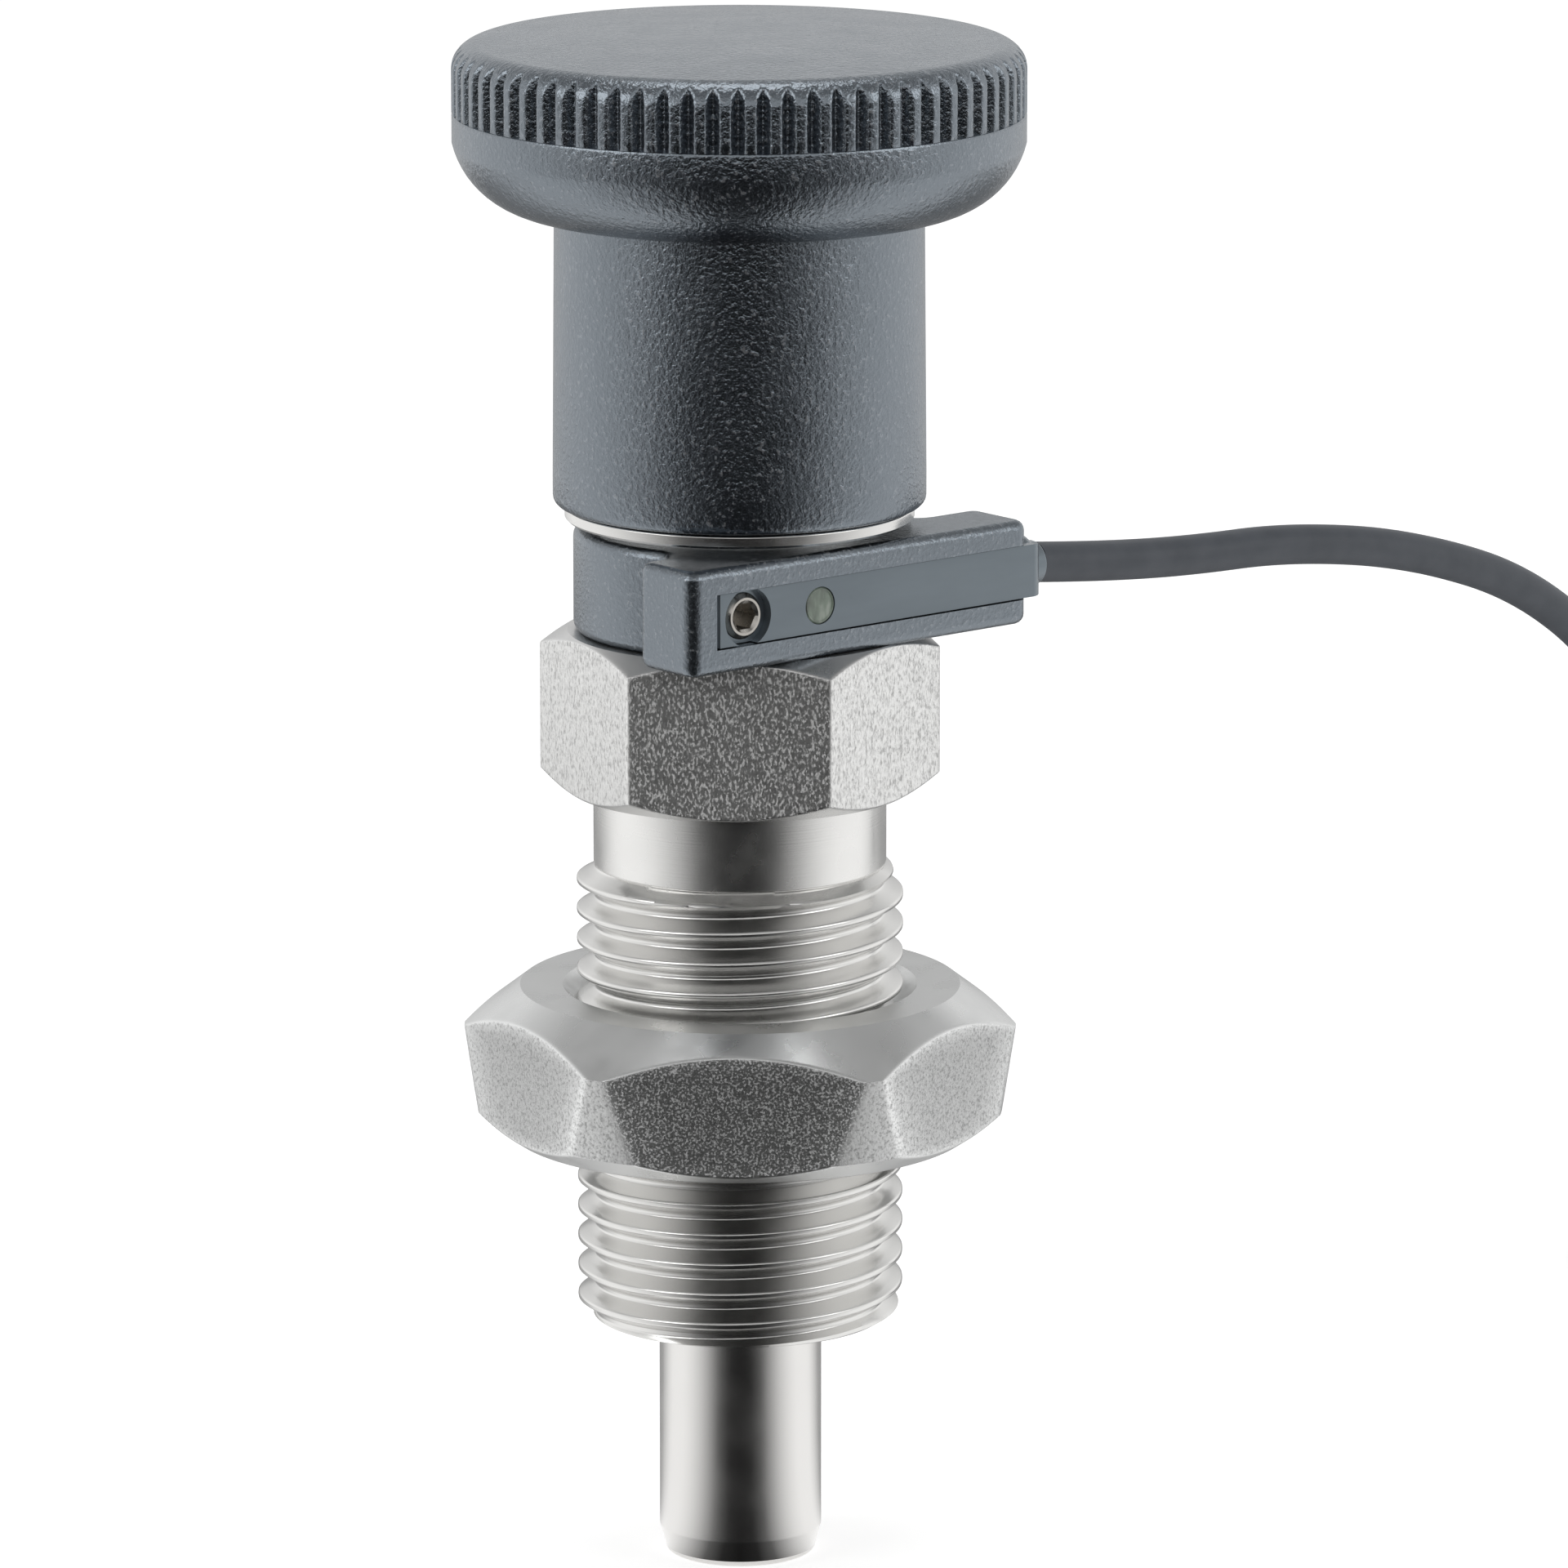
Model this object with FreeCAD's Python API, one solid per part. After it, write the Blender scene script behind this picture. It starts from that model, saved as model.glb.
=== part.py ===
import FreeCAD, Part

import math
import os

os.makedirs("parts", exist_ok=True)
Vector = FreeCAD.Vector

# A locking bolt with a position sensor, in millimetres. The origin is the centre of the
# sleeve's end face, where the pin comes out. +Z runs up the bolt's axis to the knob.
# The sensor's arm runs along +X and shows its front to -Y.

# Gaps between pieces
running_gap = 0.03
seat_gap = 0.02
free_gap = 0.3
end_gap = 0.1

# Broken edges, and how far a quarter round's middle lies inside its corner
fine_round = 0.1
edge_round = 0.3
quarter_inset = 1 - math.sqrt(0.5)
tiny = 1e-6

# Locking pin: the round end that shows, the collar and the stem, turned in one piece
pin_r = 4.0
pin_reach = 12.2
pin_taper_height = 1.35
pin_end_r = 3.65
pin_end_round = 0.3
collar_height = 2.5
collar_gap = 0.08
stem_r = 2.5
spindle_r = 2.0
spindle_end_gap = 0.75
stroke = 11.6
overtravel = 0.6

# Guide sleeve: thread, turned relief and hexagon on one axis
thread_r = 8.0
thread_length = 22.7
lead_height = 0.45
lead_width = 0.75
runout_height = 0.6
relief_r = 7.17
relief_length = 3.8
sleeve_hex_flats = 17.0
sleeve_hex_height = 7.85
sleeve_hex_angle = 16.8
sleeve_face_r = 8.4
hex_chamfer_angle = 30.0
hex_blank_over = 0.2
nose_length = 8.0
chamber_r = 5.6

# Lock nut
nut_from_end = 9.35
nut_height = 7.25
nut_flats = 24.0
nut_angle = 18.9
nut_face_r = 10.8
nut_shoulder_drop = 2.1
nut_shoulder_r = 13.55
nut_foot_height = 1.0
nut_foot_r = 12.9
nut_foot_chamfer = 1.5
nut_sink_r = 8.7

# Compression spring
wire_r = 0.4
coil_count = 8

# Stem tube: the bush that closes the sleeve
spigot_length = 4.95
tube_r = 4.1
tube_bore_r = 3.5

# Magnet on the stem, with its snap ring
magnet_r = 3.2
magnet_height = 3.0
magnet_lift = 1.0
clip_height = 0.6
clip_r = 3.1
groove_depth = 0.3
clip_opening = 80.0

# Sensor holder
holder_height = 5.15
holder_ring_r = 8.1
holder_front = 8.3
arm_depth = 4.1
arm_left = 9.9
arm_right = 11.5
arm_corner_round = 0.7
arm_root_round = 1.0
holder_edge_round = 0.5
slot_r = 1.8
slot_opening = 2.7
slot_centre_y = -6.5
slot_left = -8.3

# Flanged collar above the holder: a thin rim on a narrower shoulder
flange_r = 8.51
flange_height = 1.0
flange_rim_height = 0.62
flange_shoulder_inset = 0.9
flange_chamfer = 0.12

# Guide barrel: the bush on the stem tube that the knob slides on
barrel_r = 6.0
barrel_roof = 1.0

# Knob, in three pieces: the hollow neck, the bowl and the fluted crown on top
knob_neck_r = 8.97
knob_foot_r = 9.08
knob_foot_round = 0.45
knob_neck_rise = 1.7
knob_head_r = 13.88
knob_bowl_height = 3.4
knob_bowl_middle = (0.72, 0.32)
knob_rim_height = 1.4
flute_height = 2.4
flute_depth = 0.5
flute_count = 72
knob_edge_inset = 1.13
knob_crown_height = 1.0
knob_crown_rise = 0.4
knob_wall_gap = 1.4
knob_roof_gap = 1.1

# Threaded insert of the knob
insert_r = 3.2
insert_cover = 3.05

# Sensor housing in the slot
sensor_r = 1.7
sensor_neck_height = 2.6
sensor_front_set_back = 0.15
sensor_left_gap = 0.2
sensor_end_reach = 1.1
sensor_end_round = 0.7
pocket_left = -4.6
pocket_height = 1.9
pocket_depth = 1.9
screw_x = -6.5
screw_r = 1.0
screw_socket = 0.9
screw_socket_depth = 1.2
screw_hole_r = 1.35
screw_hole_depth = 0.5
window_x = -1.95
window_r = 0.9
window_thickness = 0.5
led_width = 0.9
led_depth = 0.35
board_height = 1.6
board_thickness = 0.4
board_set_back = 0.1
board_left = -4.3
board_right = 10.9

# Cable, its coil and the tie round it
cable_r = 1.0
cable_run_share = 0.45
boot_r = 1.12
boot_reach = 0.7
boot_plug_length = 1.2
coil_ring_r = 10.4
coil_centre_x = 79.6
coil_skin = 0.05
tie_thickness = 0.4
tie_width = 2.4
tail_reaches = (8.0, 11.2, 15.8, 19.0)

# Plug on the cable's end
plug_tail_r = 1.9
plug_tail_length = 9.0
plug_tail_straight = 2.0
plug_body_r = 3.6
plug_body_length = 10.5
plug_neck_r = 2.8
plug_ring_r = 4.8
plug_knurl_length = 6.5
plug_thread_r = 4.0
plug_thread_length = 5.0
plug_ring_wall = 0.7
plug_lip_length = 4.0
plug_carrier_length = 3.0
contact_r = 0.5
contact_length = 3.8
contact_circle_r = 1.45
contact_root = 1.0
seal_section_r = 0.38
knurl_count = 24
knurl_depth = 0.35

# Levels along the bolt's axis
nut_top = nut_from_end + nut_height
hex_bottom = thread_length + relief_length
hex_top = hex_bottom + sleeve_hex_height
collar_top = nose_length + collar_height
spigot_bottom = hex_top - spigot_length
holder_top = hex_top + holder_height
holder_middle = hex_top + holder_height / 2
flange_top = holder_top + flange_height
magnet_bottom = hex_top + magnet_lift
clip_bottom = magnet_bottom + magnet_height
tube_top = clip_bottom + clip_height + stroke + overtravel
barrel_top = tube_top + barrel_roof
knob_bottom = flange_top + end_gap
knob_roof = barrel_top + knob_roof_gap
knob_neck_top = knob_roof + knob_neck_rise
knob_bowl_top = knob_neck_top + knob_bowl_height
flute_bottom = knob_bowl_top + knob_rim_height
flute_top = flute_bottom + flute_height
crown_top = flute_top + knob_crown_height
insert_top = crown_top - insert_cover
spindle_top = insert_top - spindle_end_gap
floor_z = -pin_reach


def rounded_wire(corners, place):
    """A closed wire through corners of (a, b) or (a, b, round), put in space by place."""
    count = len(corners)
    ends = []
    for i in range(count):
        a, b = corners[i][:2]
        radius = corners[i][2] if len(corners[i]) > 2 else 0.0
        here = Vector(a, b, 0)
        back = Vector(*corners[i - 1][:2], 0) - here
        on = Vector(*corners[(i + 1) % count][:2], 0) - here
        if radius == 0.0:
            ends.append((here, None, here))
            continue
        back.normalize()
        on.normalize()
        half = back.getAngle(on) / 2
        cut = radius / math.tan(half)
        middle = back + on
        middle.normalize()
        centre = here + middle * (radius / math.sin(half))
        ends.append((here + back * cut, centre - middle * radius, here + on * cut))
    edges = []
    for i in range(count):
        start, through, end = (place(p) if p else None for p in ends[i])
        if through:
            edges.append(Part.Arc(start, through, end).toShape())
        following = place(ends[(i + 1) % count][0])
        if end.distanceToPoint(following) > tiny:
            edges.append(Part.LineSegment(end, following).toShape())
    return Part.Wire(edges)


def spun(wire):
    """The solid that a closed wire in the XZ plane sweeps about Z."""
    solid = Part.Face(wire).revolve(Vector(0, 0, 0), Vector(0, 0, 1), 360)
    if solid.Volume < 0:
        solid.reverse()
    return solid


def turned(corners):
    """A solid turned about Z from an outline of (radius, height, round) corners."""
    return spun(rounded_wire(corners, lambda p: Vector(p.x, 0, p.y)))


def hexagon(flats, bottom, height, angle):
    corner_r = flats / 2 / math.cos(math.radians(30))
    corners = [
        (
            corner_r * math.cos(math.radians(angle + 60 * k)),
            corner_r * math.sin(math.radians(angle + 60 * k)),
        )
        for k in range(6)
    ]
    wire = rounded_wire(corners, lambda p: Vector(p.x, p.y, bottom))
    return Part.Face(wire).extrude(Vector(0, 0, height))


def cylinder(radius, bottom, top, x=0.0, y=0.0):
    return Part.makeCylinder(radius, top - bottom, Vector(x, y, bottom))


def box(low, high):
    size = [b - a for a, b in zip(low, high)]
    return Part.makeBox(*size, Vector(*low))


def along_x(shape, x, y, z):
    """Lays a shape that was made about +Z along +X, with its origin at x, y, z."""
    laid = shape.copy()
    laid.rotate(Vector(0, 0, 0), Vector(0, 1, 0), 90)
    laid.translate(Vector(x, y, z))
    return laid


def locking_pin():
    profile = [
        (0, floor_z),
        (pin_end_r, floor_z, pin_end_round),
        (pin_r, floor_z + pin_taper_height),
        (pin_r, nose_length),
        (chamber_r - collar_gap, nose_length),
        (chamber_r - collar_gap, collar_top),
        (stem_r, collar_top),
        (stem_r, magnet_bottom),
        (spindle_r, magnet_bottom),
        (spindle_r, clip_bottom),
        (spindle_r - groove_depth, clip_bottom),
        (spindle_r - groove_depth, clip_bottom + clip_height),
        (spindle_r, clip_bottom + clip_height),
        (spindle_r, spindle_top),
        (0, spindle_top),
    ]
    return turned(profile)


def guide_sleeve():
    profile = [
        (pin_r + running_gap, 0),
        (thread_r - lead_width, 0),
        (thread_r, lead_height),
        (thread_r, nut_from_end - end_gap),
        (relief_r, nut_from_end - end_gap),
        (relief_r, nut_top + end_gap),
        (thread_r, nut_top + end_gap),
        (thread_r, thread_length - runout_height),
        (relief_r, thread_length),
        (relief_r, hex_bottom),
        (chamber_r, hex_bottom),
        (chamber_r, nose_length),
        (pin_r + running_gap, nose_length),
    ]
    corner_r = sleeve_hex_flats / 2 / math.cos(math.radians(30)) + hex_blank_over
    chamfer = (corner_r - sleeve_face_r) * math.tan(math.radians(hex_chamfer_angle))
    blank = turned(
        [
            (0, hex_bottom),
            (sleeve_face_r, hex_bottom),
            (corner_r, hex_bottom + chamfer),
            (corner_r, hex_top - chamfer),
            (sleeve_face_r, hex_top),
            (0, hex_top),
        ]
    )
    head = hexagon(sleeve_hex_flats, hex_bottom, sleeve_hex_height, sleeve_hex_angle)
    head = head.common(blank).cut(cylinder(chamber_r, hex_bottom, hex_top))
    return turned(profile).fuse(head)


def lock_nut():
    bottom, top = nut_from_end, nut_top
    sink = nut_sink_r - relief_r - running_gap
    blank = turned(
        [
            (relief_r + running_gap, bottom + sink),
            (nut_sink_r, bottom),
            (nut_foot_r - nut_foot_chamfer, bottom),
            (nut_foot_r, bottom + nut_foot_height),
            (nut_shoulder_r, top - nut_shoulder_drop),
            (nut_face_r, top),
            (nut_sink_r, top),
            (relief_r + running_gap, top - sink),
        ]
    )
    return blank.common(hexagon(nut_flats, bottom, nut_height, nut_angle))


def compression_spring():
    mean_r = chamber_r - free_gap - wire_r
    bottom, top = collar_top + wire_r, spigot_bottom - wire_r
    helix = Part.makeHelix((top - bottom) / coil_count, top - bottom, mean_r)
    helix.translate(Vector(0, 0, bottom))
    start = helix.Edges[0].valueAt(helix.Edges[0].FirstParameter)
    heading = helix.Edges[0].tangentAt(helix.Edges[0].FirstParameter)
    section = Part.Wire(Part.Circle(start, heading, wire_r).toShape())
    return Part.Wire(helix.Edges).makePipeShell([section], True, True)


def stem_tube():
    bore_floor = magnet_bottom - end_gap
    profile = [
        (stem_r + running_gap, spigot_bottom),
        (chamber_r - seat_gap, spigot_bottom),
        (chamber_r - seat_gap, hex_top),
        (tube_r, hex_top),
        (tube_r, tube_top),
        (tube_bore_r, tube_top),
        (tube_bore_r, bore_floor),
        (stem_r + running_gap, bore_floor),
    ]
    return turned(profile)


def magnet_ring():
    bore = spindle_r + seat_gap
    return cylinder(magnet_r, magnet_bottom, clip_bottom).cut(
        cylinder(bore, magnet_bottom, clip_bottom)
    )


def magnet_clip():
    top = clip_bottom + clip_height - seat_gap
    ring = cylinder(clip_r, clip_bottom, top)
    ring = ring.cut(cylinder(spindle_r - groove_depth + seat_gap, clip_bottom, top))
    reach = clip_r * 2
    half = math.radians(clip_opening / 2)
    corners = [
        (0, 0),
        (reach * math.cos(half), -reach * math.sin(half)),
        (reach * math.cos(half), reach * math.sin(half)),
    ]
    wire = rounded_wire(corners, lambda p: Vector(p.x, p.y, clip_bottom))
    return ring.cut(Part.Face(wire).extrude(Vector(0, 0, clip_height)))


def upright(edge):
    ends = [v.Point for v in edge.Vertexes]
    return len(ends) == 2 and math.hypot(*(ends[0] - ends[1])[:2]) < tiny


def sensor_holder():
    front, back = -holder_front, arm_depth - holder_front
    low, high = (-arm_left, front, hex_top), (arm_right, back, holder_top)
    body = cylinder(holder_ring_r, hex_top, holder_top).fuse(box(low, high))
    body = body.removeSplitter()
    ends = [e for e in body.Edges if upright(e) and abs(e.Vertexes[0].X) > holder_ring_r]
    body = body.makeFillet(arm_corner_round, ends)
    roots = [
        e for e in body.Edges
        if upright(e)
        and abs(e.Vertexes[0].Y - back) < tiny
        and abs(e.Vertexes[0].X) < holder_ring_r
    ]
    body = body.makeFillet(arm_root_round, roots)
    rims = [
        e for e in body.Edges
        if all(abs(v.Z - hex_top) < tiny for v in e.Vertexes)
        or all(abs(v.Z - holder_top) < tiny for v in e.Vertexes)
    ]
    body = body.makeFillet(holder_edge_round, rims)
    body = body.cut(cylinder(tube_r + seat_gap, hex_top, holder_top))
    reach = arm_right - slot_left + 1
    slot = along_x(cylinder(slot_r, 0, reach), slot_left, slot_centre_y, holder_middle)
    mouth = box(
        (slot_left, front - 1, holder_middle - slot_opening / 2),
        (arm_right + 1, slot_centre_y, holder_middle + slot_opening / 2),
    )
    return body.cut(slot.fuse(mouth))


def flanged_collar():
    rim_bottom = flange_top - flange_rim_height
    profile = [
        (tube_r + seat_gap, holder_top),
        (flange_r - flange_shoulder_inset, holder_top),
        (flange_r - flange_shoulder_inset, rim_bottom),
        (flange_r - flange_chamfer, rim_bottom),
        (flange_r, rim_bottom + flange_chamfer),
        (flange_r, flange_top, fine_round),
        (tube_r + seat_gap, flange_top),
    ]
    return turned(profile)


def guide_barrel():
    profile = [
        (tube_r + seat_gap, flange_top),
        (barrel_r, flange_top),
        (barrel_r, barrel_top, edge_round),
        (spindle_r + running_gap, barrel_top),
        (spindle_r + running_gap, tube_top),
        (tube_r + seat_gap, tube_top),
    ]
    return turned(profile)


def knob_neck():
    """The knob's hollow neck, up to the roof of its cavity."""
    return turned(
        [
            (barrel_r + knob_wall_gap, knob_bottom),
            (knob_foot_r, knob_bottom, knob_foot_round),
            (knob_neck_r, knob_roof),
            (barrel_r + knob_wall_gap, knob_roof),
        ]
    )


def knob_bowl():
    """The knob's solid part, from the roof of the cavity to the foot of the grooves."""
    across, up = knob_bowl_middle
    start = Vector(knob_neck_r, 0, knob_neck_top)
    middle = Vector(
        knob_neck_r + across * (knob_head_r - knob_neck_r),
        0,
        knob_neck_top + up * knob_bowl_height,
    )
    end = Vector(knob_head_r, 0, knob_bowl_top)
    around = [
        end,
        Vector(knob_head_r, 0, flute_bottom),
        Vector(0, 0, flute_bottom),
        Vector(0, 0, knob_roof),
        Vector(knob_neck_r, 0, knob_roof),
        start,
    ]
    edges = [Part.Arc(start, middle, end).toShape()]
    edges += [Part.LineSegment(a, b).toShape() for a, b in zip(around, around[1:])]
    return spun(Part.Wire(edges)).cut(insert_seat())


def insert_seat():
    return cylinder(insert_r + seat_gap, knob_roof, insert_top)


def knob_crown():
    return fluted_band().fuse(crown_cap()).cut(insert_seat())


def fluted_band():
    """The band of V grooves round the knob's rim."""
    step = math.pi / flute_count
    radii = (knob_head_r - flute_depth, knob_head_r - seat_gap)
    corners = [
        (
            radii[k % 2] * math.cos(step * k),
            radii[k % 2] * math.sin(step * k),
        )
        for k in range(2 * flute_count)
    ]
    teeth = rounded_wire(corners, lambda p: Vector(p.x, p.y, flute_bottom))
    return Part.Face(teeth).extrude(Vector(0, 0, flute_height))


def crown_cap():
    """The rounded edge and the slightly domed top above the grooves."""
    edge_r = knob_head_r - flute_depth - seat_gap
    top_r = knob_head_r - knob_edge_inset
    edge = [
        Vector(edge_r, 0, flute_top),
        Vector(
            edge_r - quarter_inset * (edge_r - top_r),
            0,
            crown_top - quarter_inset * knob_crown_height,
        ),
        Vector(top_r, 0, crown_top),
    ]
    peak = Vector(0, 0, crown_top + knob_crown_rise)
    dome_r = (top_r**2 + knob_crown_rise**2) / (2 * knob_crown_rise)
    half = math.asin(top_r / dome_r) / 2
    middle = Vector(
        dome_r * math.sin(half), 0, peak.z - dome_r * (1 - math.cos(half))
    )
    floor = Vector(0, 0, flute_top)
    edges = [
        Part.Arc(*edge).toShape(),
        Part.Arc(edge[2], middle, peak).toShape(),
        Part.LineSegment(peak, floor).toShape(),
        Part.LineSegment(floor, edge[0]).toShape(),
    ]
    return spun(Part.Wire(edges))


def knob_insert():
    bore = spindle_r + running_gap
    return cylinder(insert_r, knob_roof, insert_top - seat_gap).cut(
        cylinder(bore, knob_roof, spindle_top + end_gap)
    )


sensor_left = slot_left + sensor_left_gap
sensor_right = arm_right + sensor_end_reach
sensor_front = -holder_front + sensor_front_set_back
window_back = sensor_front + window_thickness
board_y = slot_centre_y + board_set_back


def sensor_profile(radius, neck_height, front, left, right):
    """A round bar along X with a flat-sided neck that reaches forward to the front."""
    bar = along_x(cylinder(radius, 0, right - left), left, slot_centre_y, holder_middle)
    neck = box(
        (left, front, holder_middle - neck_height / 2),
        (right, slot_centre_y, holder_middle + neck_height / 2),
    )
    return bar.fuse(neck).removeSplitter()


def facing(radius, front, back, x):
    """A disc that faces -Y, from its front to its back."""
    return Part.makeCylinder(
        radius, back - front, Vector(x, front, holder_middle), Vector(0, 1, 0)
    )


def sensor_housing():
    body = sensor_profile(
        sensor_r, sensor_neck_height, sensor_front, sensor_left, sensor_right
    )
    end = [
        e for e in body.Edges if all(abs(v.X - sensor_right) < tiny for v in e.Vertexes)
    ]
    body = body.makeFillet(sensor_end_round, end)
    pocket = box(
        (pocket_left, slot_centre_y - pocket_depth / 2, holder_middle - pocket_height / 2),
        (
            sensor_right - boot_plug_length,
            slot_centre_y + pocket_depth / 2,
            holder_middle + pocket_height / 2,
        ),
    )
    outlet = along_x(
        cylinder(boot_r, 0, boot_plug_length + 1),
        sensor_right - boot_plug_length, slot_centre_y, holder_middle,
    )
    screw_bore = facing(screw_r + seat_gap, sensor_front, slot_centre_y + slot_r, screw_x)
    screw_mouth = facing(screw_hole_r, sensor_front, sensor_front + screw_hole_depth, screw_x)
    window_seat = facing(window_r + seat_gap, sensor_front, slot_centre_y, window_x)
    for hollow in (pocket, outlet, screw_bore, screw_mouth, window_seat):
        body = body.cut(hollow)
    return body


def clamp_screw():
    front = sensor_front + screw_hole_depth / 2
    tip = slot_centre_y + math.sqrt(slot_r**2 - screw_r**2) - seat_gap
    screw = facing(screw_r, front, tip, screw_x)
    corners = [
        (
            screw_socket / math.sqrt(3) * math.cos(math.radians(60 * k)),
            screw_socket / math.sqrt(3) * math.sin(math.radians(60 * k)),
        )
        for k in range(6)
    ]
    socket = rounded_wire(
        corners, lambda p: Vector(screw_x + p.x, front, holder_middle + p.y)
    )
    return screw.cut(Part.Face(socket).extrude(Vector(0, screw_socket_depth, 0)))


def status_window():
    return facing(window_r, sensor_front, window_back, window_x)


def sensor_board():
    return box(
        (board_left, board_y, holder_middle - board_height / 2),
        (board_right, board_y + board_thickness, holder_middle + board_height / 2),
    )


def sensor_led():
    half = led_width / 2
    return box(
        (window_x - half, board_y - led_depth, holder_middle - half),
        (window_x + half, board_y, holder_middle + half),
    )


def cable_boot():
    length = boot_plug_length + boot_reach
    boot = turned(
        [
            (0, 0),
            (boot_r - seat_gap, 0),
            (boot_r - seat_gap, length, fine_round),
            (0, length),
        ]
    )
    return along_x(boot, sensor_right - boot_plug_length, slot_centre_y, holder_middle)


# The cable's route, from the boot down to the floor, as (x, z) in the plane of the boot
cable_y = slot_centre_y
cable_start = sensor_right + boot_reach
coil_z = floor_z + tie_thickness + cable_r + coil_skin
route = [
    (cable_start, holder_middle),
    (17.2, holder_middle),
    (23.4, 36.2),
    (30.4, 35.9),
    (38.9, 34.4),
    (47.6, 31.2),
    (54.8, 25.2),
    (59.6, 16.2),
    (62.6, 5.8),
    (65.2, -4.0),
    (68.8, -8.4),
    (74.0, coil_z),
    (coil_centre_x, coil_z),
]


def tube(points, name):
    """A cord's tube: straight runs joined by tangent arcs, with its radii printed."""
    runs = [(b - a).Length for a, b in zip(points, points[1:])]
    edges, here, length = [], points[0], 0.0
    radii = []
    for i in range(1, len(points) - 1):
        back = (points[i - 1] - points[i]).normalize()
        on = (points[i + 1] - points[i]).normalize()
        turn = math.pi - back.getAngle(on)
        cut = cable_run_share * min(runs[i - 1], runs[i])
        radius = cut / math.tan(turn / 2)
        start, end = points[i] + back * cut, points[i] + on * cut
        middle = (back + on).normalize()
        centre = points[i] + middle * (radius / math.cos(turn / 2))
        through = centre - middle * radius
        edges.append(Part.LineSegment(here, start).toShape())
        edges.append(Part.Arc(start, through, end).toShape())
        length += (start - here).Length + radius * turn
        radii.append(round(radius, 1))
        here = end
    edges.append(Part.LineSegment(here, points[-1]).toShape())
    length += (points[-1] - here).Length
    section = Part.Wire(
        Part.Circle(points[0], points[1] - points[0], cable_r).toShape()
    )
    solid = Part.Wire(edges).makePipeShell([section], True, False)
    share = solid.Volume / (math.pi * cable_r**2 * length)
    print(name, "radii", radii, "length", round(length, 2), "volume share", round(share, 4))
    return solid


def cable():
    return tube([Vector(x, cable_y, z) for x, z in route], "cable")


coil_outer_r = coil_ring_r + cable_r
coil_inner_r = coil_ring_r - cable_r
coil_centre_y = cable_y + coil_outer_r
coil_layer = math.sqrt(3) * cable_r
tail_y = coil_centre_y - coil_ring_r


def bundle(skin):
    """The section of three turns, two on the floor and one on them, with a skin."""
    reach = cable_r + skin
    top = coil_z + coil_layer
    low_left = Vector(coil_inner_r, 0, coil_z)
    low_right = Vector(coil_outer_r, 0, coil_z)
    peak = Vector(coil_ring_r, 0, top)
    slant = Vector(math.cos(math.radians(30)), 0, math.sin(math.radians(30))) * reach
    mirror = Vector(-slant.x, 0, slant.z)
    down, up = Vector(0, 0, -reach), Vector(0, 0, reach)
    left_side = Vector(-math.cos(math.radians(30)), 0, -math.sin(math.radians(30))) * reach
    right_side = Vector(-left_side.x, 0, left_side.z)
    corners = [
        (low_right + down, low_right + right_side, low_right + slant),
        (peak + slant, peak + up, peak + mirror),
        (low_left + mirror, low_left + left_side, low_left + down),
    ]
    edges = []
    for k in range(3):
        edges.append(Part.Arc(*corners[k]).toShape())
        edges.append(
            Part.LineSegment(corners[k][2], corners[(k + 1) % 3][0]).toShape()
        )
    return Part.Face(Part.Wire(edges))


def around_coil(face, start, sweep):
    """A section swept about the coil's own upright axis."""
    solid = face.revolve(Vector(0, 0, 0), Vector(0, 0, 1), sweep)
    solid.rotate(Vector(0, 0, 0), Vector(0, 0, 1), start)
    solid.translate(Vector(coil_centre_x, coil_centre_y, 0))
    return solid


def cable_coil():
    ring = around_coil(bundle(coil_skin), 0, 360)
    tail = along_x(
        cylinder(cable_r, 0, cable_r + tail_reaches[0]),
        coil_centre_x - cable_r, tail_y, coil_z + coil_layer,
    )
    return ring.fuse(tail)


def coil_tie():
    middle_r = coil_ring_r
    half = math.degrees(tie_width / 2 / middle_r)
    outside = around_coil(bundle(coil_skin + tie_thickness), 90 - half, 2 * half)
    inside = around_coil(bundle(coil_skin), 90 - 2 * half, 4 * half)
    return outside.cut(inside)


plug_x = coil_centre_x + tail_reaches[-1]
plug_z = floor_z + plug_ring_r


def cable_tail():
    leaves = coil_z + coil_layer
    heights = (leaves, leaves, plug_z, plug_z)
    points = [
        Vector(coil_centre_x + reach, tail_y, height)
        for reach, height in zip(tail_reaches, heights)
    ]
    return tube(points, "cable tail")


def on_plug(shape):
    return along_x(shape, plug_x, tail_y, plug_z)


plug_shoulder = plug_tail_length + plug_body_length
ring_back = plug_shoulder + free_gap
knurl_front = ring_back + plug_knurl_length
ring_front = knurl_front + plug_thread_length
plug_front = ring_back + plug_lip_length + free_gap
carrier_front = plug_front + plug_carrier_length


def plug_body():
    profile = [
        (0, 0),
        (plug_tail_r, 0, edge_round),
        (plug_tail_r, plug_tail_straight),
        (plug_body_r, plug_tail_length),
        (plug_body_r, plug_shoulder, edge_round),
        (plug_neck_r, plug_shoulder),
        (plug_neck_r, plug_front),
        (0, plug_front),
    ]
    return on_plug(turned(profile))


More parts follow.
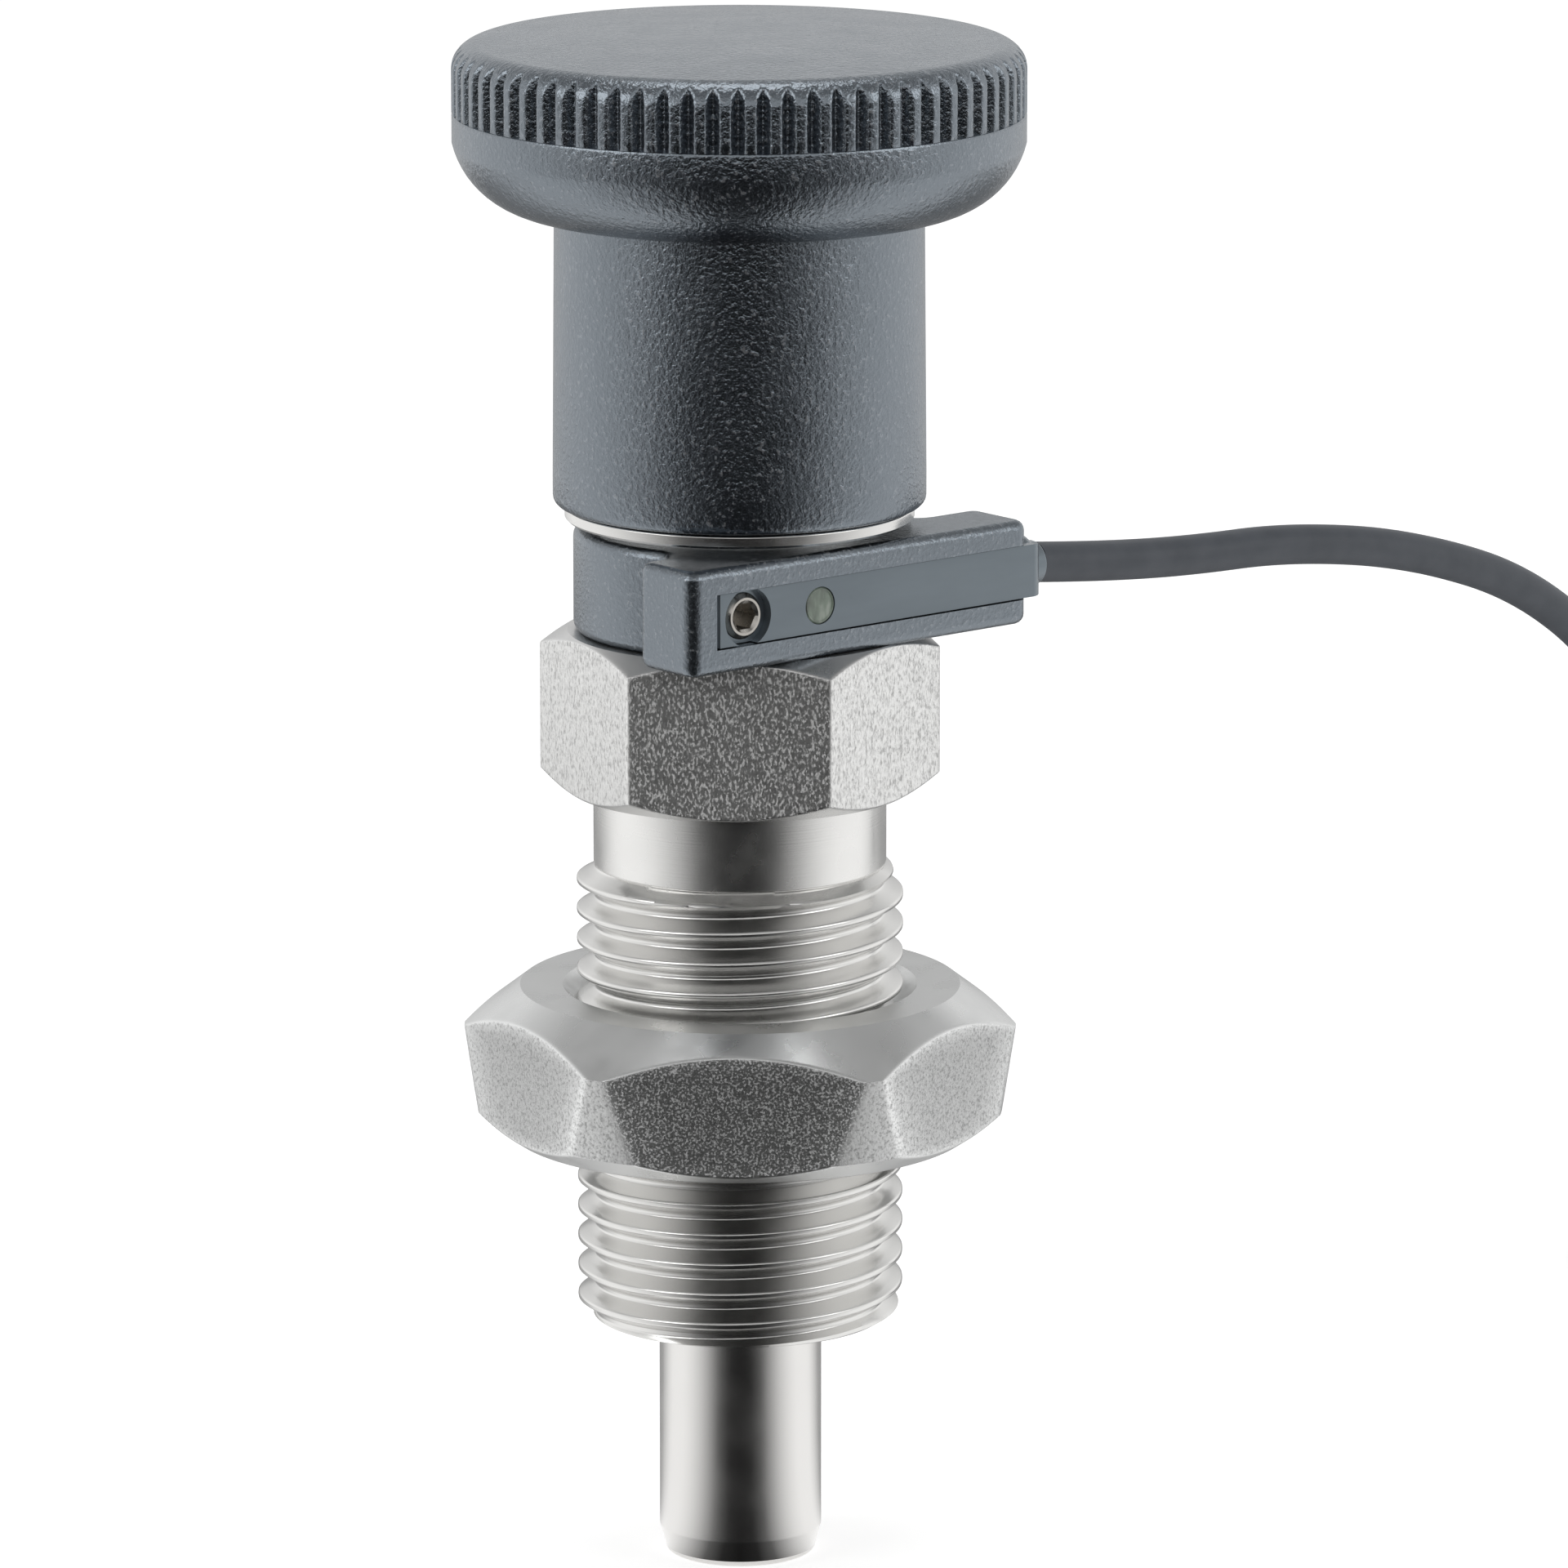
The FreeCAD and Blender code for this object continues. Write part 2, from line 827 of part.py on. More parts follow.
def plug_ring():
    bore = plug_neck_r + running_gap
    cup = plug_thread_r - plug_ring_wall
    profile = [
        (bore, ring_back),
        (plug_ring_r, ring_back, edge_round),
        (plug_ring_r, knurl_front, edge_round),
        (plug_thread_r, knurl_front),
        (plug_thread_r, ring_front, edge_round),
        (cup, ring_front),
        (cup, ring_back + plug_lip_length),
        (bore, ring_back + plug_lip_length),
    ]
    body = turned(profile)
    depth = plug_ring_r - knurl_depth
    grooves = []
    for k in range(knurl_count):
        groove = box(
            (depth, -knurl_depth, ring_back - 1), (plug_ring_r + 1, knurl_depth, knurl_front + 1)
        )
        groove.rotate(Vector(0, 0, 0), Vector(0, 0, 1), 360 / knurl_count * k)
        grooves.append(groove)
    body = body.cut(grooves)
    return on_plug(body)


def plug_seal():
    seat = plug_thread_r + seal_section_r + seat_gap
    ring = Part.makeTorus(
        seat, seal_section_r, Vector(0, 0, knurl_front + seal_section_r + seat_gap)
    )
    return on_plug(ring)


def contact_places():
    for k in range(3):
        angle = math.radians(90 + 120 * k)
        yield contact_circle_r * math.cos(angle), contact_circle_r * math.sin(angle)


def plug_carrier():
    carrier_r = plug_thread_r - plug_ring_wall - free_gap
    body = cylinder(carrier_r, plug_front, carrier_front)
    for x, y in contact_places():
        hole = cylinder(contact_r + seat_gap, carrier_front - contact_root, carrier_front, x, y)
        body = body.cut(hole)
    return on_plug(body)


def plug_contacts():
    back = carrier_front - contact_root
    pins = []
    for x, y in contact_places():
        pin = turned(
            [
                (0, back),
                (contact_r, back),
                (contact_r, back + contact_root + contact_length, edge_round),
                (0, back + contact_root + contact_length),
            ]
        )
        pin.translate(Vector(x, y, 0))
        pins.append(pin)
    return on_plug(Part.Compound(pins))


pieces = {
    "locking_pin": locking_pin,
    "guide_sleeve": guide_sleeve,
    "lock_nut": lock_nut,
    "compression_spring": compression_spring,
    "stem_tube": stem_tube,
    "magnet_ring": magnet_ring,
    "magnet_clip": magnet_clip,
    "sensor_holder": sensor_holder,
    "flanged_collar": flanged_collar,
    "guide_barrel": guide_barrel,
    "knob_neck": knob_neck,
    "knob_bowl": knob_bowl,
    "knob_crown": knob_crown,
    "knob_insert": knob_insert,
    "sensor_housing": sensor_housing,
    "clamp_screw": clamp_screw,
    "status_window": status_window,
    "sensor_board": sensor_board,
    "sensor_led": sensor_led,
    "cable_boot": cable_boot,
    "cable": cable,
    "cable_coil": cable_coil,
    "coil_tie": coil_tie,
    "cable_tail": cable_tail,
    "plug_body": plug_body,
    "plug_ring": plug_ring,
    "plug_seal": plug_seal,
    "plug_carrier": plug_carrier,
    "plug_contacts": plug_contacts,
}

for name, make in pieces.items():
    shape = make()
    if not shape.isValid():
        print("not valid:", name)
    shape.exportStep("parts/" + name + ".step")
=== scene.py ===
import math

import bmesh
import bpy
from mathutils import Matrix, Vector


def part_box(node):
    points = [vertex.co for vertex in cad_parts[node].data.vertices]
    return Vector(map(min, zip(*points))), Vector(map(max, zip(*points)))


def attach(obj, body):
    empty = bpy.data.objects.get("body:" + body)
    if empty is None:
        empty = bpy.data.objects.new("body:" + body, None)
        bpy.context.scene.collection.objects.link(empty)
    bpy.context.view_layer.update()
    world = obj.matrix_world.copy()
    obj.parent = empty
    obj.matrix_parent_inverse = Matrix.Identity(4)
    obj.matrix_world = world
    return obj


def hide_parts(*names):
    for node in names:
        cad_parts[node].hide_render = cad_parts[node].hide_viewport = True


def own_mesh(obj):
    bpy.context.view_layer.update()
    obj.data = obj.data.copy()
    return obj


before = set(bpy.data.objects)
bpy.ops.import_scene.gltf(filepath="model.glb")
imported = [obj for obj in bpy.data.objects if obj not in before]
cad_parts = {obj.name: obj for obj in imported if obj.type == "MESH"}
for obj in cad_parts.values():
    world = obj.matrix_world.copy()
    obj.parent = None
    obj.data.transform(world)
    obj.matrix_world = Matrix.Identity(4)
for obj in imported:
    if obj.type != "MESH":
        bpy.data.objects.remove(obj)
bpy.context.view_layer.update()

mm = 0.001
scene = bpy.context.scene
scene.view_settings.view_transform = "Standard"


# Camera. A long lens, a little above the bolt, turned so that the sensor's arm runs to the
# right and away from it.
view_turn = math.radians(40)
view_drop = math.radians(12.27)
view_distance = 507 * mm
view_centre = Vector((1.65, -1.39, 26.56)) * mm
to_right = Vector((math.cos(view_turn), -math.sin(view_turn), 0))
to_back = Vector((math.sin(view_turn), math.cos(view_turn), 0))
looking = to_back * math.cos(view_drop) - Vector((0, 0, math.sin(view_drop)))
camera = bpy.data.objects.new("camera", bpy.data.cameras.new("camera"))
camera.data.lens = 238.1
camera.data.clip_start = 0.01
camera.location = view_centre - looking * view_distance
camera.rotation_euler = looking.to_track_quat("-Z", "Y").to_euler()
scene.collection.objects.link(camera)
scene.camera = camera


# Studio. The bolt stands on its pin on a wide white table, under a white dome that is greyer
# overhead, among three soft boxes. A graded card round it gives the steel something to mirror.
table_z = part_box("locking_pin")[0].z


def add_node(tree, kind, values=(), **settings):
    """A shader node with its settings, and its inputs given as numbers or as other sockets."""
    made = tree.nodes.new(kind)
    for setting, value in settings.items():
        setattr(made, setting, value)
    for socket, value in dict(values).items():
        if isinstance(value, bpy.types.NodeSocket):
            tree.links.new(value, made.inputs[socket])
        else:
            made.inputs[socket].default_value = value
    return made


def maths(tree, operation, *values):
    """What a math node makes of numbers or other sockets."""
    return add_node(tree, "ShaderNodeMath", enumerate(values), operation=operation).outputs[0]


def between(tree, value, low, high, low_gives, high_gives, **settings):
    """Maps value from low..high to low_gives..high_gives, and holds it there outside."""
    made = add_node(
        tree, "ShaderNodeMapRange",
        {"Value": value, "From Min": low, "From Max": high, "To Min": low_gives,
         "To Max": high_gives},
        **settings,
    )
    return made.outputs[0]


def shade(tree, value, *stops):
    """Colours along a value, as (position, (r, g, b)) stops."""
    ramp = add_node(tree, "ShaderNodeValToRGB", {0: value})
    points = ramp.color_ramp.elements
    while len(points) < len(stops):
        points.new(0.5)
    for point, (position, colour) in zip(points, stops):
        point.position = position
        point.color = (*colour, 1)
    return ramp.outputs["Color"]


def bare_tree(owner):
    """The node tree of a material or a world, emptied."""
    owner.use_nodes = True
    owner.node_tree.nodes.clear()
    return owner.node_tree


def seen_straight(tree):
    """1 for rays from the camera, from a mirror or through something clear, otherwise 0."""
    path = add_node(tree, "ShaderNodeLightPath").outputs
    either = maths(tree, "MAXIMUM", path["Is Camera Ray"], path["Is Glossy Ray"])
    return maths(tree, "MAXIMUM", either, path["Is Transmission Ray"])


def flat_sheet(name, corners, material):
    """A flat piece of the studio, which is no part of the bolt."""
    mesh = bpy.data.meshes.new(name)
    mesh.from_pydata(corners, [], [tuple(range(len(corners)))])
    mesh.materials.append(material)
    sheet = bpy.data.objects.new(name, mesh)
    scene.collection.objects.link(sheet)
    return sheet


table_grey, table_lift = 0.8, 0.56
table_paint = bpy.data.materials.new("table_white")
tree = bare_tree(table_paint)
matt = add_node(
    tree, "ShaderNodeBsdfDiffuse", {"Color": (table_grey, table_grey, table_grey, 1)}
)
lift = maths(tree, "MULTIPLY", seen_straight(tree), table_lift)
glow = add_node(tree, "ShaderNodeEmission", {"Strength": lift})
both = add_node(tree, "ShaderNodeAddShader", {0: matt.outputs[0], 1: glow.outputs[0]})
add_node(tree, "ShaderNodeOutputMaterial", {"Surface": both.outputs[0]})
reach = 3.0
flat_sheet(
    "table",
    [(-reach, -reach, table_z), (reach, -reach, table_z), (reach, reach, table_z),
     (-reach, reach, table_z)],
    table_paint,
)

# The dome is white to the camera, softer as a light, and greyer overhead in a mirror
soft_grey, overhead_grey = 0.42, 0.32
dome = bpy.data.worlds.new("dome")
scene.world = dome
tree = bare_tree(dome)
sky = add_node(tree, "ShaderNodeTexCoord").outputs["Generated"]
height = add_node(tree, "ShaderNodeSeparateXYZ", {0: sky}).outputs["Z"]
overhead = between(
    tree, height, 0.25, 0.95, 1.0, overhead_grey, interpolation_type="SMOOTHSTEP"
)
path = add_node(tree, "ShaderNodeLightPath").outputs
soft = add_node(
    tree, "ShaderNodeMix", {"Factor": path["Is Diffuse Ray"], "A": 1.0, "B": soft_grey},
    data_type="FLOAT",
)
mirrored = add_node(
    tree, "ShaderNodeMix",
    {"Factor": path["Is Glossy Ray"], "A": soft.outputs[0], "B": overhead},
    data_type="FLOAT",
)
backdrop = add_node(
    tree, "ShaderNodeBackground",
    {"Color": (1, 1, 1, 1), "Strength": mirrored.outputs[0]},
)
add_node(tree, "ShaderNodeOutputWorld", {"Surface": backdrop.outputs[0]})


def soft_box(name, right, front, up, width, tall, power):
    """An area lamp that stands right, in front and above, in metres, and faces the bolt."""
    lamp = bpy.data.lights.new(name, "AREA")
    lamp.shape = "RECTANGLE"
    lamp.size, lamp.size_y = width, tall
    lamp.energy = power
    stand = bpy.data.objects.new(name, lamp)
    stand.location = to_right * right - to_back * front + Vector((0, 0, up))
    bolt_middle = Vector((0, 0, 0.03))
    aim = bolt_middle - stand.location
    stand.rotation_euler = aim.to_track_quat("-Z", "Y").to_euler()
    scene.collection.objects.link(stand)


soft_box("left_box", -0.55, 0.30, 0.35, 0.40, 0.50, 1.0)
soft_box("right_box", 0.60, 0.25, 0.30, 0.35, 0.45, 0.7)
soft_box("top_box", 0.0, -0.15, 0.75, 0.40, 0.40, 1.2)

# The card that the steel mirrors runs once round the bolt, on the table and up round its
# rim: dark in front, where the camera stands, white at both sides and grey behind.
card_paint = bpy.data.materials.new("card_graded")
tree = bare_tree(card_paint)
place = add_node(tree, "ShaderNodeTexCoord").outputs["Object"]
ahead, aside = (
    add_node(
        tree, "ShaderNodeVectorMath", {0: place, 1: way}, operation="DOT_PRODUCT"
    ).outputs["Value"]
    for way in (-to_back, to_right)
)
either_way = maths(tree, "ABSOLUTE", maths(tree, "ARCTAN2", aside, ahead))
# Higher up, the dark part is wider: the greys that follow lie at larger angles
height = add_node(tree, "ShaderNodeSeparateXYZ", {0: place}).outputs["Z"]
narrow_below, wide_above, widened = table_z + 8 * mm, table_z + 24 * mm, 0.78
share = maths(
    tree, "MULTIPLY", either_way,
    between(tree, height, narrow_below, wide_above, 1 / math.pi, widened / math.pi),
)
# Degrees from the front, and how bright the card is there
card_greys = (
    (0, 0.01), (15, 0.02), (29, 0.12), (41, 0.42), (54, 0.74), (67, 0.98), (82, 1.15),
    (108, 1.15), (120, 0.90), (140, 0.40), (180, 0.30),
)
greys = shade(tree, share, *((degrees / 180, (grey,) * 3) for degrees, grey in card_greys))
glow = add_node(tree, "ShaderNodeEmission", {"Color": greys})
add_node(tree, "ShaderNodeOutputMaterial", {"Surface": glow.outputs[0]})
card_reach, card_tall, card_sides = 150 * mm, 80 * mm, 96
card_z = table_z + 0.3 * mm
rim = [
    Vector((card_reach * math.cos(2 * math.pi * k / card_sides),
            card_reach * math.sin(2 * math.pi * k / card_sides), card_z))
    for k in range(card_sides)
]
raised = Vector((0, 0, card_tall))
sheets = [("card_floor", rim)]
sheets += [
    (f"card_{k}", [rim[k - 1], rim[k], rim[k] + raised, rim[k - 1] + raised])
    for k in range(card_sides)
]
for name, corners in sheets:
    card = flat_sheet(name, corners, card_paint)
    card.visible_camera = False
    card.visible_diffuse = False
    card.visible_shadow = False
    card.visible_transmission = False


# Cable. A 2 mm round lead in a dark blue-grey jacket, extruded, about 0.3 m long. It leaves
# the sensor's boot, sinks to the table and is wound into three turns under a tie.
def finish_of(name, colour, metallic, roughness, **more):
    """A material whose constant values stand on the shader itself."""
    made = bpy.data.materials.new(name)
    made.use_nodes = True
    shader = made.node_tree.nodes["Principled BSDF"]
    values = {"Base Color": (*colour, 1), "Metallic": metallic, "Roughness": roughness}
    values.update({socket.replace("_", " "): value for socket, value in more.items()})
    for socket, value in values.items():
        shader.inputs[socket].default_value = value
    return made, made.node_tree, shader


def speckle(tree, size, detail=2.0, stretch=(1, 1, 1), rough=0.5):
    """Cloudy noise from 0 to 1 with spots of about that size in mm."""
    place = add_node(tree, "ShaderNodeTexCoord").outputs["Object"]
    drawn = add_node(tree, "ShaderNodeMapping", {"Vector": place, "Scale": stretch})
    noise = add_node(
        tree, "ShaderNodeTexNoise",
        {"Vector": drawn.outputs[0], "Scale": 1 / (size * mm), "Detail": detail,
         "Roughness": rough},
    )
    return noise.outputs["Fac"]


def clouded(name, colour, roughness, cloud, *stops, **more):
    """A material without metal, its colour drifting along the stops in clouds of a speckle."""
    made, tree, shader = finish_of(name, colour, 0.0, roughness, **more)
    tree.links.new(shade(tree, speckle(tree, **cloud), *stops), shader.inputs["Base Color"])
    return made, tree, shader


def raise_grain(tree, shader, value, depth, under=None):
    """Lets a value stand out of the surface by depth in mm, over an earlier bump if given."""
    inputs = {"Height": value, "Distance": depth * mm, "Strength": 1.0}
    if under:
        inputs["Normal"] = under
    bump = add_node(tree, "ShaderNodeBump", inputs)
    tree.links.new(bump.outputs[0], shader.inputs["Normal"])
    return bump.outputs[0]


jacket, tree, shader = clouded(
    "cable_jacket", (0.060, 0.068, 0.082), 0.52, {"size": 1.6},
    (0.3, (0.052, 0.060, 0.073)), (0.7, (0.070, 0.079, 0.094)),
)
raise_grain(tree, shader, speckle(tree, 0.12), 0.004)

cable_y = -6.5
boot_end_x = 13.3
arm_middle = 36.925
coil_x, coil_y, coil_z = 79.6, 4.9, -10.75
tail_y = -5.5
plug_x, plug_z = 98.6, -7.4
cable_way = [
    (boot_end_x, cable_y, arm_middle), (17.2, cable_y, 36.45), (23.4, cable_y, 35.95),
    (30.4, cable_y, 35.8), (38.9, cable_y, 34.4), (47.6, cable_y, 31.3),
    (54.8, cable_y, 25.2), (59.6, cable_y, 16.2), (62.6, cable_y, 5.8),
    (65.2, cable_y, -4.0), (68.8, cable_y, -8.4), (74.0, cable_y, coil_z),
]
# The turns as (degrees wound, radius, height above the lowest turn): two lie on the table,
# and the last climbs on to the groove between them.
nested = 1.73
winding = (
    (0, 11.4, 0.0), (300, 11.4, 0.0), (360, 9.4, 0.0), (660, 9.4, 0.0), (720, 7.4, 0.0),
    (780, 8.4, nested), (810, 9.4, 2.0), (840, 10.4, nested), (1080, 10.4, nested),
)
point_step = 30
point_out = 1 / math.cos(math.radians(point_step / 2))
for (start, radius, lift), (end, next_radius, next_lift) in zip(winding, winding[1:]):
    for turned_by in range(start + point_step // 2, end, point_step):
        share = (turned_by - start) / (end - start)
        out = (radius + (next_radius - radius) * share) * point_out
        up = lift + (next_lift - lift) * share
        angle = math.radians(turned_by - 90)
        cable_way.append(
            (coil_x + out * math.cos(angle), coil_y + out * math.sin(angle), coil_z + up)
        )
tail_z = coil_z + nested
cable_way += [
    (coil_x + 8.0, tail_y, tail_z), (coil_x + 11.2, tail_y, tail_z),
    (coil_x + 15.8, tail_y, plug_z), (plug_x, tail_y, plug_z),
]
line = bpy.data.curves.new("sensor_cable", "CURVE")
line.dimensions = "3D"
spline = line.splines.new("NURBS")
spline.points.add(len(cable_way) - 1)
for point, place in zip(spline.points, cable_way):
    point.co = (*(Vector(place) * mm), 1)
spline.order_u = 3
spline.use_endpoint_u = True
line.resolution_u = 14
line.bevel_depth = 1.0 * mm
line.bevel_resolution = 7
line.use_fill_caps = True
line.materials.append(jacket)
cable = bpy.data.objects.new("sensor_cable", line)
scene.collection.objects.link(cable)
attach(cable, "sleeve")
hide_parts("cable", "cable_coil", "cable_tail")


# Locking pin. Stainless steel, turned and ground to 8 mm, with a broken edge and a short
# taper at its end. It runs on as the collar and the stem inside the bolt.
def softened(corners, steps=5):
    """An outline in mm with rounded corners, from (across, up) or (across, up, round)."""
    points = []
    for number, corner in enumerate(corners):
        here = Vector(corner[:2])
        if len(corner) < 3:
            points.append(here)
            continue
        back = (Vector(corners[number - 1][:2]) - here).normalized()
        on = (Vector(corners[(number + 1) % len(corners)][:2]) - here).normalized()
        half = back.angle(on) / 2
        centre = here + (back + on).normalized() * corner[2] / math.sin(half)
        cut = corner[2] / math.tan(half)
        start, end = here + back * cut - centre, here + on * cut - centre
        points += [
            centre + start.slerp(end, step / steps) * corner[2] for step in range(steps + 1)
        ]
    return points


def upright(across, deep, level):
    """Leaves a shape as it stands, about the bolt's axis."""
    return across, deep, level


def ring_at(shape, radius, level, around, place=upright):
    """A ring of corners about an axis, or the axis' one corner as often for a radius of 0."""
    if radius < 1e-6:
        return [shape.verts.new(place(0, 0, level))] * around
    angles = [2 * math.pi * k / around for k in range(around)]
    return [
        shape.verts.new(place(radius * math.cos(a), radius * math.sin(a), level)) for a in angles
    ]


def add_bands(shape, rings):
    """Faces between each ring of corners and the next."""
    for lower, upper in zip(rings, rings[1:]):
        for k in range(len(lower)):
            m = (k + 1) % len(lower)
            corners = list(dict.fromkeys((lower[k], lower[m], upper[m], upper[k])))
            if len(corners) > 2:
                shape.faces.new(corners)


def add_turned(shape, outline, around=180, place=upright):
    """Sweeps an outline of (radius, level) in mm about an axis, put in space by place."""
    rings = [ring_at(shape, radius, level, around, place) for radius, level in outline]
    add_bands(shape, rings)
    return rings


def mesh_of(name, shape, apart=1e-4):
    """Turns a shape in mm into a mesh, and merges corners that aren't apart."""
    bmesh.ops.remove_doubles(shape, verts=shape.verts, dist=apart)
    bmesh.ops.recalc_face_normals(shape, faces=shape.faces)
    bmesh.ops.scale(shape, vec=(mm, mm, mm), verts=shape.verts)
    mesh = bpy.data.meshes.new(name)
    shape.to_mesh(mesh)
    shape.free()
    return mesh


def smooth_out(piece, crease):
    """Shades a piece smooth but for its sharper edges, and its large faces flat."""
    piece.data.shade_smooth()
    piece.data.set_sharp_from_angle(angle=math.radians(crease))
    normals = piece.modifiers.new("normals", "WEIGHTED_NORMAL")
    normals.keep_sharp = True


def as_piece(name, shape, material, body, replaced, crease=32):
    """Makes a shape in mm a piece of the bolt."""
    piece = bpy.data.objects.new(name, mesh_of(name, shape))
    piece.data.materials.append(material)
    scene.collection.objects.link(piece)
    smooth_out(piece, crease)
    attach(piece, body)
    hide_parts(*replaced)
    return piece


def turning_marks(tree, spacing):
    """Fine lathe lines, a value that changes along the axis and across end faces only."""
    place = add_node(tree, "ShaderNodeTexCoord").outputs["Object"]
    parts = add_node(tree, "ShaderNodeSeparateXYZ", {0: place})
    flat = add_node(
        tree, "ShaderNodeCombineXYZ", {"X": parts.outputs["X"], "Y": parts.outputs["Y"]}
    )
    out = add_node(
        tree, "ShaderNodeVectorMath", {0: flat.outputs[0]}, operation="LENGTH"
    ).outputs["Value"]
    along = maths(tree, "ADD", out, parts.outputs["Z"])
    lines = add_node(
        tree, "ShaderNodeTexNoise",
        {"W": along, "Scale": 1 / (spacing * mm), "Detail": 3.0},
        noise_dimensions="1D",
    )
    return lines.outputs["Fac"]


def turned_steel(name, tint, roughness, spacing, depth):
    """Bright stainless steel from the lathe, a little uneven in its shine."""
    made, tree, shader = finish_of(name, tint, 1.0, roughness)
    lines = turning_marks(tree, spacing)
    cloud = speckle(tree, 2.5, detail=4.0)
    tree.links.new(
        between(tree, cloud, 0.35, 0.65, roughness * 0.85, roughness * 1.2),
        shader.inputs["Roughness"],
    )
    fine = speckle(tree, 0.06)
    under = raise_grain(tree, shader, fine, depth * 0.5)
    raise_grain(tree, shader, lines, depth, under)
    return made


pin_steel = turned_steel("pin_steel", (0.71, 0.70, 0.685), 0.22, 0.05, 0.0012)
pin_end = table_z / mm
pin_r, tip_r, tip_long, edge = 4.0, 3.65, 1.35, 0.3
stop_r, stop_low, stop_high = 5.52, 8.0, 10.5
stem_r, thin_r, thin_low, stem_top = 2.5, 2.0, 35.35, 59.35
clip_r, clip_low, clip_high = 1.7, 38.35, 38.95
pin_outline = softened(
    [
        (0, pin_end), (tip_r, pin_end, edge), (pin_r, pin_end + tip_long, edge),
        (pin_r, stop_low), (stop_r, stop_low, 0.1), (stop_r, stop_high, 0.1),
        (stem_r, stop_high), (stem_r, thin_low), (thin_r, thin_low), (thin_r, clip_low),
        (clip_r, clip_low), (clip_r, clip_high), (thin_r, clip_high), (thin_r, stem_top),
        (0, stem_top),
    ]
)
shape = bmesh.new()
add_turned(shape, pin_outline, around=144)
as_piece("pin", shape, pin_steel, "plunger", ["locking_pin"])


# Guide sleeve, thread. A right-hand thread, 16 mm across with a 1.5 mm pitch, cut into
# stainless bar: sharp flanks, narrow crests, a lead-in chamfer and a run-out.
thread_steel = turned_steel("thread_steel", (0.70, 0.695, 0.68), 0.22, 0.06, 0.0015)
crest_r, root_r, end_r = 8.0, 7.1, 7.25
pitch = 1.5
thread_top = 22.7
lead_height, run_out_height = 0.45, 0.5
# One crest's place, which sets how the helix is turned
crest_z = 3.91
crest_angle = math.radians(140)
# One ridge's section as (height from the crest, radius)
ridge = (
    (-0.75, root_r), (-0.64, root_r + 0.01), (-0.57, root_r + 0.07), (-0.36, root_r + 0.42),
    (-0.17, crest_r - 0.10), (-0.10, crest_r - 0.01), (0.0, crest_r), (0.10, crest_r - 0.01),
    (0.17, crest_r - 0.10), (0.36, root_r + 0.42), (0.57, root_r + 0.07), (0.64, root_r + 0.01),
)
columns = 240
turns = math.ceil(thread_top / pitch) + 3
first_crest = crest_z - pitch * math.ceil(crest_z / pitch + 1)


def thread_point(row, column):
    """A corner of the thread's surface: rows climb the ridges and follow the helix."""
    angle = 2 * math.pi * column / columns
    climb = ((angle - crest_angle) / (2 * math.pi)) * pitch
    offset, radius = ridge[row % len(ridge)]
    height = first_crest + row // len(ridge) * pitch + offset + climb
    if height <= 0:
        radius, height = end_r, 0.0
    elif height >= thread_top:
        radius, height = root_r, thread_top
    else:
        lead = end_r + (crest_r - end_r) * height / lead_height
        left = min(1.0, (thread_top - height) / run_out_height)
        radius = min(radius, lead, root_r + (crest_r - root_r) * left)
    return radius * math.cos(angle), radius * math.sin(angle), height


shape = bmesh.new()
bore_r, chamber_r, nose = 4.03, 5.6, 8.0
inner = [
    ring_at(shape, radius, level, columns)
    for radius, level in (
        (chamber_r, thread_top), (chamber_r, nose), (bore_r, nose), (bore_r, 0.0)
    )
]
rows = len(ridge) * turns
grid = [
    [shape.verts.new(thread_point(row, column)) for column in range(columns)]
    for row in range(rows)
]
for row in range(rows - 1):
    for column in range(columns):
        following = column + 1
        shift = 0
        if following == columns:
            following, shift = 0, len(ridge)
        if row + 1 + shift >= rows:
            continue
        shape.faces.new(
            (grid[row][column], grid[row + shift][following],
             grid[row + 1 + shift][following], grid[row + 1][column])
        )
add_bands(shape, inner + [grid[0]])
add_bands(shape, [grid[-1], inner[0]])
bmesh.ops.dissolve_degenerate(shape, edges=shape.edges, dist=1e-4)
as_piece("thread", shape, thread_steel, "sleeve", ["guide_sleeve"], crease=50)


# Guide sleeve, relief. The turned neck between the thread and the hexagon.
relief_steel = turned_steel("relief_steel", (0.74, 0.735, 0.72), 0.25, 0.09, 0.003)
hex_bottom, hex_top = 26.5, 34.35
relief_r = 7.17
relief = [
    (chamber_r, thread_top), (root_r, thread_top), (relief_r, thread_top + 0.15),
    (relief_r, hex_bottom), (chamber_r, hex_bottom), (chamber_r, thread_top),
]
shape = bmesh.new()
add_turned(shape, relief)
as_piece("relief", shape, relief_steel, "sleeve", ["guide_sleeve"])


# Guide sleeve, hexagon. Drawn bar, 17 mm across flats: the flats keep the bar's mottled,
# lengthwise skin, and both ends are chamfered on the lathe.
def spaced(outline, gap):
    """The same outline with more points, none further apart than gap."""
    points = []
    for here, there in zip(outline, outline[1:]):
        here, there = Vector(here[:2]), Vector(there[:2])
        steps = max(1, math.ceil((there - here).length / gap))
        points += [here.lerp(there, step / steps) for step in range(steps)]
    return points + [Vector(outline[-1][:2])]


def stepped(start, *runs):
    """An outline from start to the end of each run, its points no further apart than its gap."""
    points = [Vector(start)]
    for end, gap in runs:
        points += spaced([points[-1], end], gap)[1:]
    return points


def hexagon_round(flats, turn, corner_round, gap):
    """A hexagon's rim as (angle, radius) once round, with rounded corners."""
    tip = flats / 2 / math.cos(math.radians(30))
    angles = [math.radians(turn + 60 * k) for k in range(6)]
    corners = [(tip * math.cos(a), tip * math.sin(a), corner_round) for a in angles]
    rim = softened(corners, steps=4)
    rim = spaced(rim + rim[:1], gap)[:-1]
    return [(math.atan2(p.y, p.x), p.length) for p in rim]


